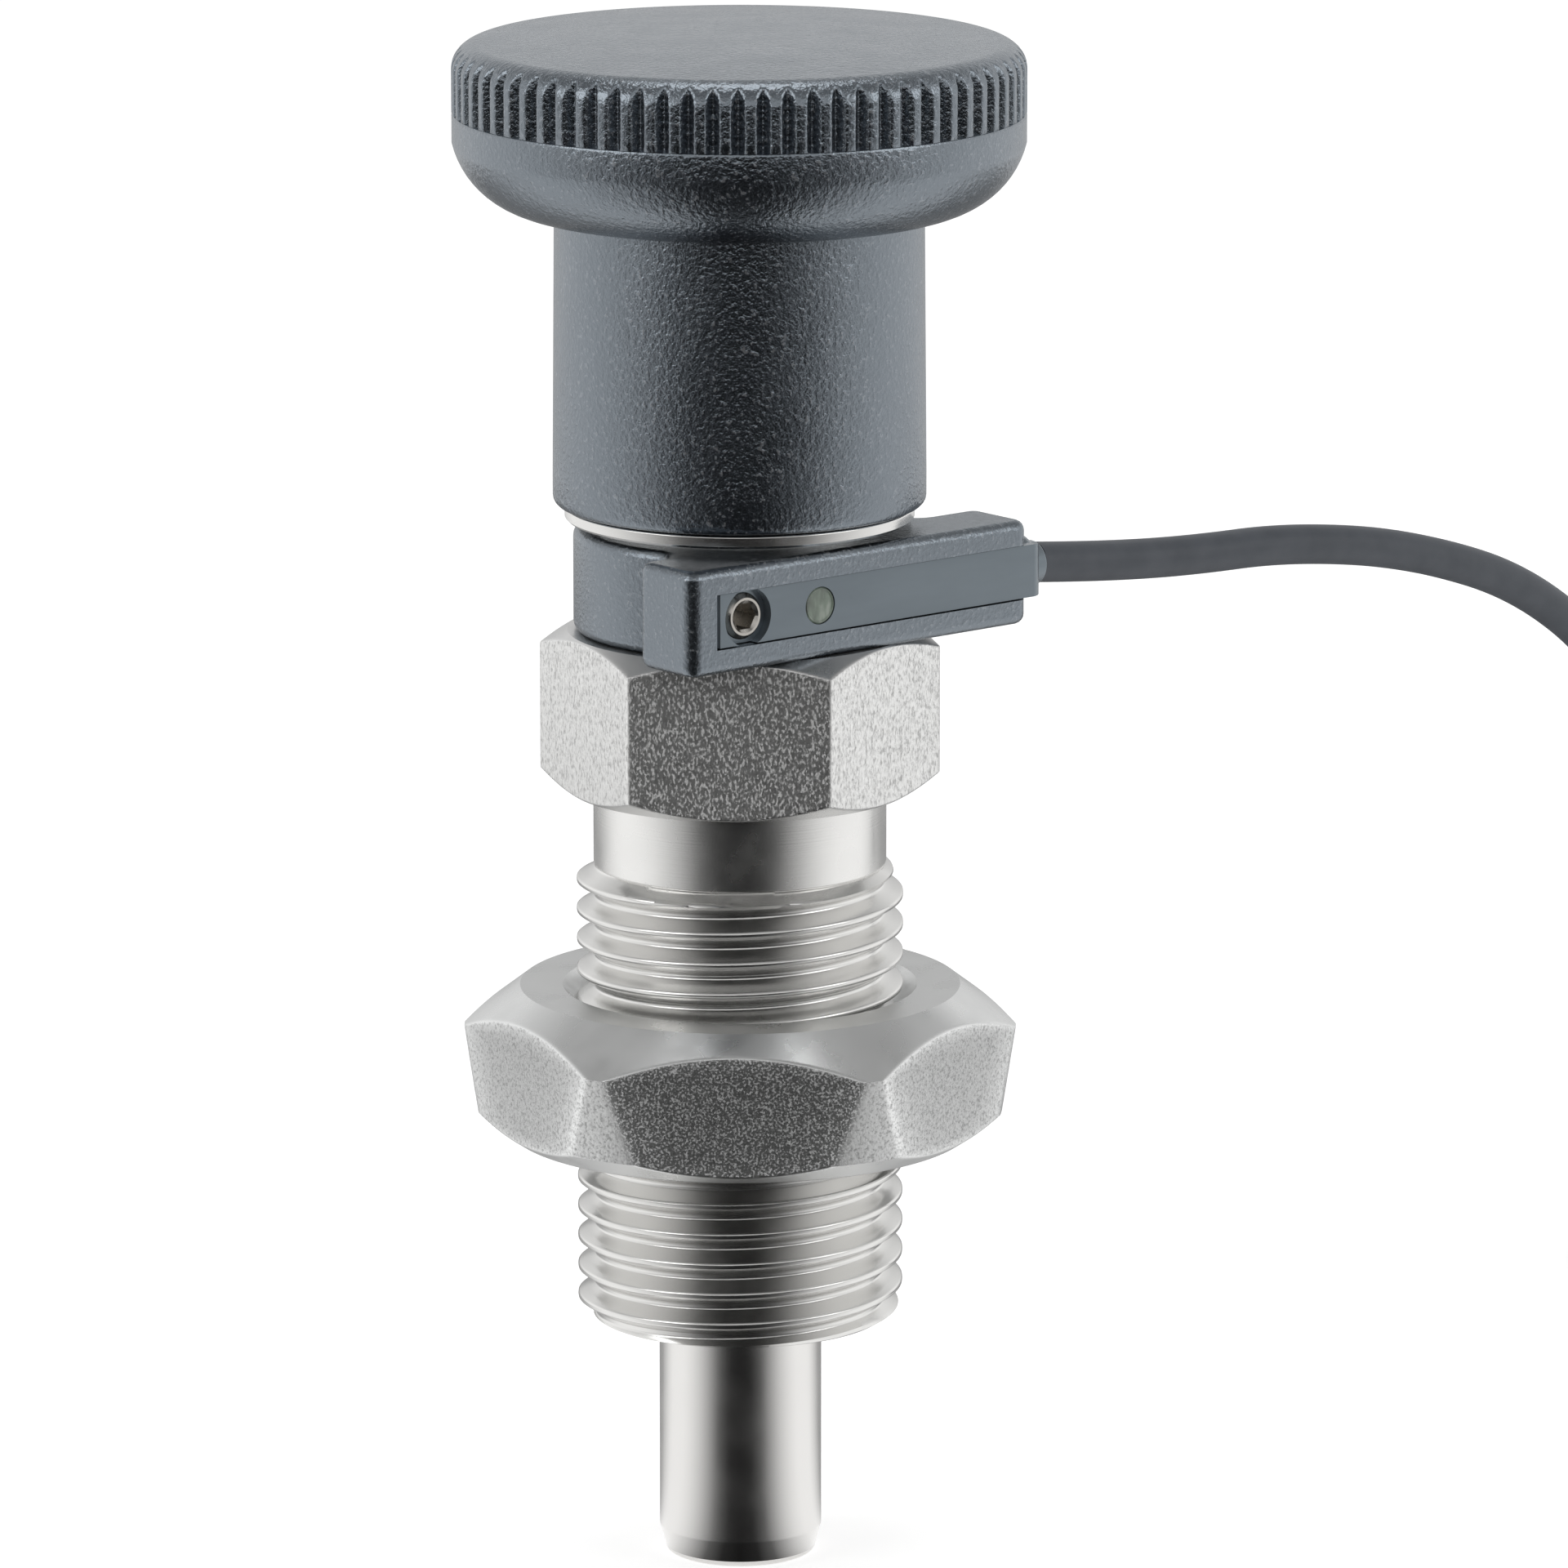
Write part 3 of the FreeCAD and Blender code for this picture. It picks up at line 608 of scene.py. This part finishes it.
def soft_least(a, b, blend):
    """The lesser of a and b, eased over blend where they meet."""
    overlap = max(blend - abs(a - b), 0) / blend
    return min(a, b) - overlap * overlap * blend / 4


def add_hexagonal(shape, rim, blank, blend):
    """A turned blank with flats: each of its rings is held in by the hexagon's rim.

    The value "held" says by how much, in mm: above 0 on the flats, below on the turned parts.
    """
    held = shape.verts.layers.float.new("held")
    rings = []
    for radius, height in blank:
        ring = []
        for angle, limit in rim:
            out = soft_least(radius, limit, blend)
            corner = shape.verts.new((out * math.cos(angle), out * math.sin(angle), height))
            corner[held] = radius - limit
            ring.append(corner)
        rings.append(ring)
    add_bands(shape, rings)


def bar_steel(name, tint, roughness, pits, streak, painted_edge_highlight=((-1.0, 1.0), (1.0, 1.0))):
    """Steel with the skin of drawn bar: mottled, lightly pitted, with a lengthwise grain.

    The brightness table gives a grey by how far the flats hold the blank in, and the colour is
    multiplied by it: where it is brighter along the flats' rounded edges, that is a painted
    highlight.
    """
    made, tree, shader = finish_of(name, tint, 1.0, roughness)
    mottle = speckle(tree, 0.16, detail=3.0, stretch=(1, 1, streak), rough=0.6)
    dark = tuple(0.66 * c for c in tint)
    skin = shade(tree, mottle, (0.36, dark), (0.48, tint), (0.70, tuple(1.1 * c for c in tint)))
    held = add_node(tree, "ShaderNodeAttribute", attribute_name="held").outputs["Fac"]
    across = between(tree, held, painted_edge_highlight[0][0], painted_edge_highlight[-1][0], 0.0, 1.0)
    reach = painted_edge_highlight[-1][0] - painted_edge_highlight[0][0]
    # A grey by how far the flats hold the blank in, brighter where the table paints a highlight
    # along the flats' rounded edges
    bright = shade(
        tree, across, *(((at - painted_edge_highlight[0][0]) / reach, (grey, grey, grey)) for at, grey in painted_edge_highlight)
    )
    skin_with_painted_highlight = add_node(
        tree, "ShaderNodeMix", {0: 1.0, 6: skin, 7: bright}, data_type="RGBA",
        blend_type="MULTIPLY",
    )
    tree.links.new(skin_with_painted_highlight.outputs[2], shader.inputs["Base Color"])
    tree.links.new(
        between(tree, mottle, 0.3, 0.7, roughness * 1.25, roughness * 0.85),
        shader.inputs["Roughness"],
    )
    grain = speckle(tree, 0.11, detail=2.0, stretch=(1, 1, streak))
    # The pits scatter the light instead of mirroring it
    tree.links.new(between(tree, grain, 0.50, 0.62, 1.0, 0.3), shader.inputs["Metallic"])
    under = raise_grain(tree, shader, grain, pits * 0.7)
    raise_grain(tree, shader, mottle, pits, under)
    return made


hex_flats, hex_turn = 17.0, 16.8
hex_face_r, hex_over = 8.4, 9.95
hex_fall = (hex_over - hex_face_r) * math.tan(math.radians(30))
hex_blank = [Vector((chamber_r, hex_bottom))]
hex_blank += stepped(
    (hex_face_r, hex_bottom),
    ((hex_over, hex_bottom + hex_fall), 0.08),
    ((hex_over, hex_top - hex_fall), 0.9),
    ((hex_face_r, hex_top), 0.08),
)
hex_blank += [Vector((chamber_r, hex_top)), Vector((chamber_r, hex_bottom))]
hexagon_steel = bar_steel(
    "hexagon_steel", (0.71, 0.71, 0.70), roughness=0.36, pits=0.014, streak=0.55
)
shape = bmesh.new()
hex_rim = hexagon_round(hex_flats, hex_turn, corner_round=0.25, gap=0.25)
add_hexagonal(shape, hex_rim, hex_blank, blend=0.10)
hexagon = as_piece(
    "hexagon", shape, hexagon_steel, "sleeve", ["guide_sleeve"], crease=25
)


def face_turned(piece, material, least=0.25):
    """Gives the faces that look up or down, which come from the lathe, their own material."""
    piece.data.materials.append(material)
    for face in piece.data.polygons:
        if abs(face.normal.z) > least:
            face.material_index = 1


face_turned(hexagon, turned_steel("hexagon_ends", (0.60, 0.60, 0.595), 0.30, 0.10, 0.002))


# Lock nut. A thin nut, 24 mm across flats, pressed from bar: its flats narrow towards the
# foot between rough cone-shaped corners, and its upper chamfer and face are turned.
nut_bottom, nut_top = 9.35, 16.6
nut_flats, nut_turn = 24.0, 18.9
nut_face_r, nut_bore_r, nut_lead = 8.7, 7.2, 1.5
foot_in, foot_out, nut_over, chamfer_in = 11.4, 12.9, 13.55, 10.8
foot_rise, chamfer_fall = 1.0, 2.1
nut_blank = stepped(
    (nut_face_r, nut_bottom),
    ((foot_in, nut_bottom), 0.5),
    ((foot_out, nut_bottom + foot_rise), 0.15),
    ((nut_over, nut_top - chamfer_fall), 0.25),
    ((chamfer_in, nut_top), 0.10),
    ((nut_face_r, nut_top), 0.5),
)
nut_blank += [
    Vector((nut_bore_r, nut_top - nut_lead)), Vector((nut_bore_r, nut_bottom + nut_lead)),
    Vector((nut_face_r, nut_bottom)),
]
# The flats carry a painted highlight, a bright line along their rounded edges, and are darker
# towards their middles
nut_painted_highlight = (
    (-1.6, 0.86), (-0.12, 0.82), (-0.03, 1.0), (0.06, 1.0), (0.25, 0.86), (0.8, 0.68), (1.5, 0.62),
)
nut_steel = bar_steel(
    "nut_steel", (0.74, 0.745, 0.74), roughness=0.38, pits=0.014, streak=1.0, painted_edge_highlight=nut_painted_highlight
)
shape = bmesh.new()
nut_rim = hexagon_round(nut_flats, nut_turn, corner_round=0.4, gap=0.22)
add_hexagonal(shape, nut_rim, nut_blank, blend=0.12)
nut = as_piece("nut", shape, nut_steel, "lock_nut", ["lock_nut"], crease=35)
face_turned(nut, turned_steel("nut_ends", (0.66, 0.665, 0.66), 0.30, 0.10, 0.002))


# Inside the bolt: the tube that closes the sleeve, the magnet and its snap ring. They keep
# the turned shapes that they come with.
def dress(node, material):
    """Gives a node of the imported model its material."""
    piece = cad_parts[node]
    piece.data.materials.clear()
    piece.data.materials.append(material)


dress("stem_tube", relief_steel)
dress("magnet_clip", relief_steel)
magnet_nickel = bar_steel("magnet_nickel", (0.62, 0.59, 0.54), 0.22, 0.003, 1.0)
dress("magnet_ring", magnet_nickel)


# Compression spring. Wound from 0.8 mm stainless wire, closer at both ends. It stands on the
# pin's collar under the stem tube, and is squeezed when the knob is pulled.
def cap_ends(shape, rings):
    """Closes the first and the last ring with a face."""
    shape.faces.new(rings[0])
    shape.faces.new(rings[-1])


spring_low, spring_high = (corner.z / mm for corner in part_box("compression_spring"))
spring_long = spring_high - spring_low
wire_r, coil_turns = 0.4, 8
coil_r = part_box("compression_spring")[1].x / mm - wire_r
# How much closer than even the end turns lie, as a share
closer = 0.55
wire_steps, wire_sides = 40 * coil_turns, 12
wire_round = [2 * math.pi * k / wire_sides for k in range(wire_sides)]
shape = bmesh.new()
rings = []
for step in range(wire_steps + 1):
    share = step / wire_steps
    wound = 2 * math.pi * coil_turns * share
    eased = share - closer * math.sin(2 * math.pi * share) / (2 * math.pi)
    level = spring_low + wire_r + (spring_long - 2 * wire_r) * eased
    rings.append(
        [shape.verts.new(((coil_r + wire_r * math.cos(a)) * math.cos(wound),
                          (coil_r + wire_r * math.cos(a)) * math.sin(wound),
                          level + wire_r * math.sin(a))) for a in wire_round]
    )
add_bands(shape, rings)
cap_ends(shape, rings)
spring_wire = turned_steel("spring_wire", (0.5, 0.5, 0.5), 0.3, 0.08, 0.001)
spring = as_piece(
    "spring", shape, spring_wire, "plunger", ["compression_spring"]
)
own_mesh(spring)


# Flanged collar. A bright turned ring under the knob: a thin rim on a narrower shoulder, so
# that a dark gap shows between it and the holder.
collar_steel = turned_steel("collar_steel", (0.66, 0.655, 0.64), 0.20, 0.07, 0.0025)
holder_top, flange_top, tube_r = 39.5, 40.5, 4.12
rim_bottom, rim_r, rim_bevel, shoulder_r = flange_top - 0.62, 8.51, 0.12, 6.8
collar = [
    (tube_r, holder_top), (shoulder_r, holder_top), (shoulder_r, rim_bottom),
    (rim_r - rim_bevel, rim_bottom), (rim_r, rim_bottom + rim_bevel), (rim_r, flange_top, 0.1),
    (tube_r, flange_top), (tube_r, holder_top),
]
shape = bmesh.new()
add_turned(shape, softened(collar), around=240)
as_piece("collar", shape, collar_steel, "sleeve", ["flanged_collar"])


# Guide barrel. A turned bush on the stem tube, with a roof round the stem. The knob slides
# over it, so it shows only when the knob is pulled.
barrel_r, barrel_top, tube_top, stem_hole_r = 6.0, 52.15, 51.15, 2.03
barrel = [
    (tube_r, flange_top), (barrel_r, flange_top), (barrel_r, barrel_top, 0.3),
    (stem_hole_r, barrel_top), (stem_hole_r, tube_top), (tube_r, tube_top),
    (tube_r, flange_top),
]
shape = bmesh.new()
add_turned(shape, softened(barrel))
as_piece("barrel", shape, relief_steel, "sleeve", ["guide_barrel"])


# Sensor holder. Moulded in black glass-filled plastic with an eroded grain: a ring clamped
# under the collar, and an arm with a slot along it for the sensor.
def eroded_plastic(name, tint, grain, depth):
    """Moulded plastic with the fine grain of an eroded mould: its colour paints shade into the
    grain's hollows and sparkling glints on its peaks.
    """
    made, tree, shader = finish_of(
        name, tint, 0.0, 0.24, IOR=2.0, Specular_IOR_Level=1.0,
        Specular_Tint=(0.80, 0.90, 1.0, 1),
    )
    pits = speckle(tree, grain, detail=2.0, rough=0.6)
    cloud = speckle(tree, 3.0, detail=3.0)
    # The grain's colour: painted shade in its hollows, and painted highlights and glints on its
    # peaks
    low = tuple(0.4 * c for c in tint)
    high = tuple(2.2 * c for c in tint)
    painted_glint = tuple(c + 0.10 for c in high)
    tree.links.new(
        shade(tree, pits, (0.36, low), (0.52, tint), (0.60, high), (0.68, painted_glint)),
        shader.inputs["Base Color"],
    )
    tree.links.new(
        between(tree, cloud, 0.3, 0.7, 0.21, 0.27), shader.inputs["Roughness"]
    )
    raise_grain(tree, shader, pits, depth)
    return made


holder_plastic = eroded_plastic("holder_plastic", (0.004, 0.005, 0.006), 0.22, 0.036)
holder_bottom = hex_top
ring_r, root_round = 8.1, 1.0
arm_left, arm_right, arm_front, arm_back = -9.9, 11.5, -8.3, -4.2
root_y = arm_back + root_round
root_x = math.sqrt((ring_r + root_round) ** 2 - root_y**2)
root_angle = math.atan2(root_y, root_x)


def arc(centre_x, centre_y, radius, start, end, steps):
    """Points along an arc, angles in radians."""
    for step in range(steps + 1):
        angle = start + (end - start) * step / steps
        yield Vector((centre_x + radius * math.cos(angle), centre_y + radius * math.sin(angle)))


arm_ends = softened(
    [(arm_left, arm_back, 0.7), (arm_left, arm_front, 0.7), (arm_right, arm_front, 0.7),
     (arm_right, arm_back, 0.7)],
    steps=6,
)
right_root = arc(root_x, root_y, root_round, -math.pi / 2, root_angle - math.pi, 6)
round_ring = arc(0, 0, ring_r, root_angle, math.pi - root_angle, 90)
left_root = arc(-root_x, root_y, root_round, -root_angle, -math.pi / 2, 6)
holder_rim = arm_ends + list(right_root) + list(round_ring)[1:-1] + list(left_root)


def quarter(steps):
    """Angles over a quarter of a circle."""
    return [math.pi / 2 * step / steps for step in range(steps + 1)]


def add_drawn(shape, rim, layers, place=upright):
    """A closed solid: a rim drawn through layers of (inset, level), put in space by place."""
    count = len(rim)
    outward = []
    for k in range(count):
        on = rim[(k + 1) % count] - rim[k - 1]
        outward.append(Vector((on.y, -on.x)).normalized())
    rings = [
        [shape.verts.new(place(*(rim[k] - outward[k] * inset), level)) for k in range(count)]
        for inset, level in layers
    ]
    add_bands(shape, rings)
    cap_ends(shape, rings)


def cutter(shape):
    """A loose solid, in mm, to cut with."""
    tool = bpy.data.objects.new("cutter", mesh_of("cutter", shape, apart=1e-5))
    scene.collection.objects.link(tool)
    return tool


def rod_cutter(radius, low, high, place=upright):
    """A round rod to cut with, from low to high, put in space by place."""
    shape = bmesh.new()
    cap_ends(shape, add_turned(shape, [(radius, low), (radius, high)], 64, place))
    return cutter(shape)


def cut_away(piece, tools, crease=32):
    """Cuts the tools out of a piece and keeps the result as its mesh."""
    piece.modifiers.clear()
    for tool in tools:
        step = piece.modifiers.new("cut", "BOOLEAN")
        step.operation = "DIFFERENCE"
        step.solver = "EXACT"
        step.object = tool
    result = bpy.data.meshes.new_from_object(
        piece.evaluated_get(bpy.context.evaluated_depsgraph_get())
    )
    piece.modifiers.clear()
    piece.data = result
    smooth_out(piece, crease)
    for tool in tools:
        bpy.data.objects.remove(tool)


slot_y = -6.5
slot_r, slot_half, slot_left = 1.8, 1.35, -8.3


def keyhole(radius, half, front):
    """A round bar's section with a straight neck to the front, as (y, height) in mm."""
    start = math.pi - math.asin(half / radius)
    bar = list(arc(slot_y, 0, radius, -start, start, 28))
    return bar + [Vector((front, half)), Vector((front, -half))]


def along_arm(deep, rise, level):
    """Lays a shape along the arm, with its level as the place along X."""
    return level, deep, arm_middle + rise


edge_round = 0.5
holder_layers = [
    (edge_round * (1 - math.sin(q)), holder_bottom + edge_round * (1 - math.cos(q)))
    for q in quarter(5)
]
holder_layers += [
    (edge_round * (1 - math.sin(q)), holder_top - edge_round * (1 - math.cos(q)))
    for q in reversed(quarter(5))
]
shape = bmesh.new()
add_drawn(shape, holder_rim, holder_layers)
holder = as_piece(
    "holder", shape, holder_plastic, "sleeve", ["sensor_holder"]
)
# The cutters stand out by this much
beyond = 1
bore = rod_cutter(tube_r, holder_bottom - beyond, holder_top + beyond)
slot = bmesh.new()
slot_layers = [(0, slot_left), (0, arm_right + 2 * beyond)]
add_drawn(slot, keyhole(slot_r, slot_half, arm_front - 2 * beyond), slot_layers, along_arm)
cut_away(holder, [bore, cutter(slot)])


# Sensor. A slim magnetic switch in smooth, smoky plastic, pushed into the slot. Its end is
# rounded, and a small board with the lamp sits inside.
smoky, tree, shader = clouded(
    "sensor_plastic", (0.070, 0.078, 0.086), 0.24,
    {"size": 2.2, "detail": 3.0, "stretch": (0.3, 1, 1)},
    (0.3, (0.055, 0.065, 0.074)), (0.7, (0.085, 0.098, 0.110)),
    IOR=1.7, Specular_IOR_Level=1.0, Specular_Tint=(0.76, 0.90, 1.0, 1),
    Coat_Weight=0.2, Coat_Roughness=0.08,
)
raise_grain(tree, shader, speckle(tree, 0.5), 0.002)
sensor_left, sensor_right, sensor_front = -8.1, 12.6, -8.15
sensor_r, sensor_half = 1.7, 1.3
screw_x, window_x = -6.25, -1.75
end_bevel, end_round = 0.12, 0.7
sensor_layers = [(end_bevel, sensor_left), (0.0, sensor_left + end_bevel)]
sensor_layers += [
    (end_round * (1 - math.cos(q)), sensor_right - end_round * (1 - math.sin(q)))
    for q in quarter(7)
]
shape = bmesh.new()
add_drawn(shape, keyhole(sensor_r, sensor_half, sensor_front), sensor_layers, along_arm)
housing = as_piece(
    "sensor", shape, smoky, "sleeve", ["sensor_housing"], crease=38
)


def facing(at_x):
    """Places a round shape so that it looks out of the arm's front, at_x along it."""
    return lambda across, rise, level: (at_x + across, level, arm_middle + rise)


# What is cut into the sensor's front, as (place along it, radius, how far back)
front_holes = (
    (screw_x, 1.42, sensor_front + 0.5), (screw_x, 1.14, slot_y + 2.5),
    (window_x, 0.92, sensor_front + 0.45),
)
cut_away(
    housing,
    [rod_cutter(radius, sensor_front - beyond, back, facing(x)) for x, radius, back in front_holes],
)
board, tree, shader = clouded(
    "board_green", (0.02, 0.10, 0.05), 0.45, {"size": 0.6},
    (0.4, (0.015, 0.075, 0.04)), (0.6, (0.03, 0.13, 0.07)),
)
dress("sensor_board", board)
lamp_white, tree, shader = clouded(
    "lamp_white", (0.75, 0.76, 0.70), 0.3, {"size": 0.4},
    (0.3, (0.6, 0.62, 0.5)), (0.7, (0.8, 0.81, 0.78)),
)
dress("sensor_led", lamp_white)


# Clamp screw. A small bright socket screw that wedges the sensor in the slot.
screw_steel = turned_steel("screw_steel", (0.46, 0.44, 0.41), 0.24, 0.05, 0.0015)
screw_r, screw_tip, screw_front = 1.12, -5.0, sensor_front + 0.2
socket_flats, socket_deep, socket_lead = 1.25, 1.6, 0.12
fine_around = 72


def socket_limit(angle):
    """How far the socket reaches out from the screw's middle in that direction."""
    wedge = (angle + math.pi / 6) % (math.pi / 3) - math.pi / 6
    return socket_flats / 2 / math.cos(math.pi / 6 - abs(wedge))


# The screw's rings as (radius, level): the socket's rings have six sides instead of a radius
screw_outline = (
    (None, screw_front + socket_deep), (None, screw_front + socket_lead), (0.80, screw_front),
    (0.92, screw_front), (screw_r, screw_front + 0.22), (screw_r, screw_tip),
)
shape = bmesh.new()
rings = []
for radius, level in screw_outline:
    ring = []
    for k in range(fine_around):
        angle = 2 * math.pi * k / fine_around
        out = radius or socket_limit(angle)
        corner = facing(screw_x)(out * math.cos(angle), out * math.sin(angle), level)
        ring.append(shape.verts.new(corner))
    rings.append(ring)
add_bands(shape, rings)
cap_ends(shape, rings)
as_piece("clamp_screw_head", shape, screw_steel, "sleeve", ["clamp_screw"])


# Status window. A frosted, faintly green lens over the sensor's lamp. It is flush with the
# front, and its face lies a little deeper than its rim.
pane, tree, shader = clouded(
    "window_plastic", (0.20, 0.24, 0.20), 0.18,
    {"size": 0.7, "detail": 3.0, "stretch": (1.6, 1, 0.6)},
    (0.30, (0.10, 0.115, 0.10)), (0.55, (0.20, 0.25, 0.20)), (0.75, (0.34, 0.38, 0.33)),
    Coat_Weight=0.3, Coat_Roughness=0.1,
)
window_r, lens_back, lens_face = 0.9, sensor_front + 0.44, sensor_front + 0.05
lens = (
    (0, lens_back), (window_r, lens_back), (window_r, sensor_front + 0.07),
    (window_r - 0.07, sensor_front), (window_r - 0.09, sensor_front),
    (window_r - 0.15, lens_face), (0, lens_face),
)
shape = bmesh.new()
add_turned(shape, lens, fine_around, facing(window_x))
as_piece("window", shape, pane, "sleeve", ["status_window"])


# Cable boot. A short moulded sleeve where the cable enters the sensor.
def at_boot(across, rise, level):
    """Lays a round shape along X, with its level counted from the boot's end."""
    return boot_end_x + level, slot_y + across, arm_middle + rise


boot_r, boot_long = 1.10, 1.9
boot = softened([(0, -boot_long), (boot_r, -boot_long), (boot_r, 0.0, 0.12), (0, 0.0)])
shape = bmesh.new()
add_turned(shape, boot, 64, at_boot)
as_piece("boot", shape, smoky, "sleeve", ["cable_boot"])


# Knob. A mushroom in the same black grain: a plain neck, a bowl, and a crown with grooves
# round its rim. It is moulded on a brass insert.
knob_plastic = eroded_plastic("knob_plastic", (0.003, 0.0035, 0.005), 0.24, 0.055)
knob_bottom, foot_tall, neck_top, roof = 40.6, 1.6, 54.95, 53.25
bowl_top, groove_bottom, groove_top, crown_top = 58.35, 59.75, 62.15, 63.55
neck_r, foot_r, head_r, cavity_r, seat_r = 8.97, 9.08, 13.88, 7.4, 3.22
insert_top = 60.1
# A point that the bowl's round outline passes through
bulge = (neck_r + 0.72 * (head_r - neck_r), neck_top + 0.32 * (bowl_top - neck_top))


def through(start, middle, end, steps):
    """Points along the arc through three points."""
    (ax, ay), (bx, by), (cx, cy) = start, middle, end
    scale = 2 * (ax * (by - cy) + bx * (cy - ay) + cx * (ay - by))
    a2, b2, c2 = ax * ax + ay * ay, bx * bx + by * by, cx * cx + cy * cy
    x = (a2 * (by - cy) + b2 * (cy - ay) + c2 * (ay - by)) / scale
    y = (a2 * (cx - bx) + b2 * (ax - cx) + c2 * (bx - ax)) / scale
    radius = math.hypot(ax - x, ay - y)
    return list(
        arc(x, y, radius, math.atan2(ay - y, ax - x), math.atan2(cy - y, cx - x), steps)
    )


body = softened(
    [(seat_r, groove_bottom), (seat_r, roof), (cavity_r, roof), (cavity_r, knob_bottom),
     (foot_r, knob_bottom, 0.45), (foot_r, knob_bottom + foot_tall)]
)
body += through((neck_r, neck_top), bulge, (head_r, bowl_top), 16)
body += [Vector((head_r, groove_bottom - 0.12)), Vector((head_r - 0.06, groove_bottom)),
         Vector((seat_r, groove_bottom))]
shape = bmesh.new()
add_turned(shape, body, around=240)
as_piece("knob_body", shape, knob_plastic, "knob", ["knob_neck", "knob_bowl"])

groove_count, groove_depth = 72, 0.5
# Across one groove: share of the spacing, and share of the depth
across_groove = (
    (0.0, 1.0), (0.06, 0.94), (0.17, 0.52), (0.27, 0.12), (0.32, 0.02), (0.41, 0.0),
    (0.59, 0.0), (0.68, 0.02), (0.73, 0.12), (0.83, 0.52), (0.94, 0.94),
)
crown_edge, crown_edge_up, crown_bevel = 1.35, 1.25, 0.05
edge_z = groove_top - 0.25
crown = [(0, insert_top), (seat_r, insert_top), (seat_r, groove_bottom)]
crown += [(head_r - crown_bevel, groove_bottom), (head_r, groove_bottom + crown_bevel)]
crown += [tuple(p) for p in stepped(crown[-1], ((head_r, edge_z), 0.5))[1:]]
crown += [
    (head_r - crown_edge + crown_edge * math.cos(q), edge_z + crown_edge_up * math.sin(q))
    for q in quarter(18)[1:]
]
# The top is a shallow dome
dome_rise = crown_top - crown[-1][1]
crown += [
    (crown[-1][0] * (1 - share), crown[-1][1] + dome_rise * (1 - (1 - share) ** 2))
    for share in (0.15, 0.35, 0.6, 0.8, 1.0)
]
shape = bmesh.new()
rings = []
for radius, level in crown:
    if radius < 1e-6:
        rings.append([shape.verts.new((0, 0, level))] * (groove_count * len(across_groove)))
        continue
    ring = []
    for groove in range(groove_count):
        for share, deep in across_groove:
            angle = 2 * math.pi * (groove + share) / groove_count
            out = radius
            if level > groove_bottom:
                out = min(radius, head_r - groove_depth * deep)
            ring.append(
                shape.verts.new((out * math.cos(angle), out * math.sin(angle), level))
            )
    rings.append(ring)
add_bands(shape, rings)
as_piece("crown", shape, knob_plastic, "knob", ["knob_crown"], crease=50)
brass = turned_steel("insert_brass", (0.72, 0.50, 0.22), 0.25, 0.08, 0.002)
dress("knob_insert", brass)


# Plug and tie. A three-pole screw plug on the cable's end, with a plain black grip and a
# knurled nickel ring, and the nylon tie that holds the coil.
nylon, tree, shader = clouded(
    "tie_nylon", (0.03, 0.03, 0.032), 0.4, {"size": 0.8},
    (0.3, (0.022, 0.022, 0.024)), (0.7, (0.040, 0.040, 0.043)),
)
dress("coil_tie", nylon)
grip = eroded_plastic("plug_plastic", (0.028, 0.030, 0.034), 0.25, 0.02)
dress("plug_carrier", grip)
rubber = eroded_plastic("seal_rubber", (0.02, 0.02, 0.02), 0.2, 0.004)
dress("plug_seal", rubber)
gold = turned_steel("contact_gold", (0.85, 0.62, 0.28), 0.2, 0.05, 0.0008)
dress("plug_contacts", gold)
nickel = turned_steel("plug_nickel", (0.66, 0.64, 0.60), 0.22, 0.08, 0.0015)
dress("plug_ring", nickel)
dress("plug_body", grip)
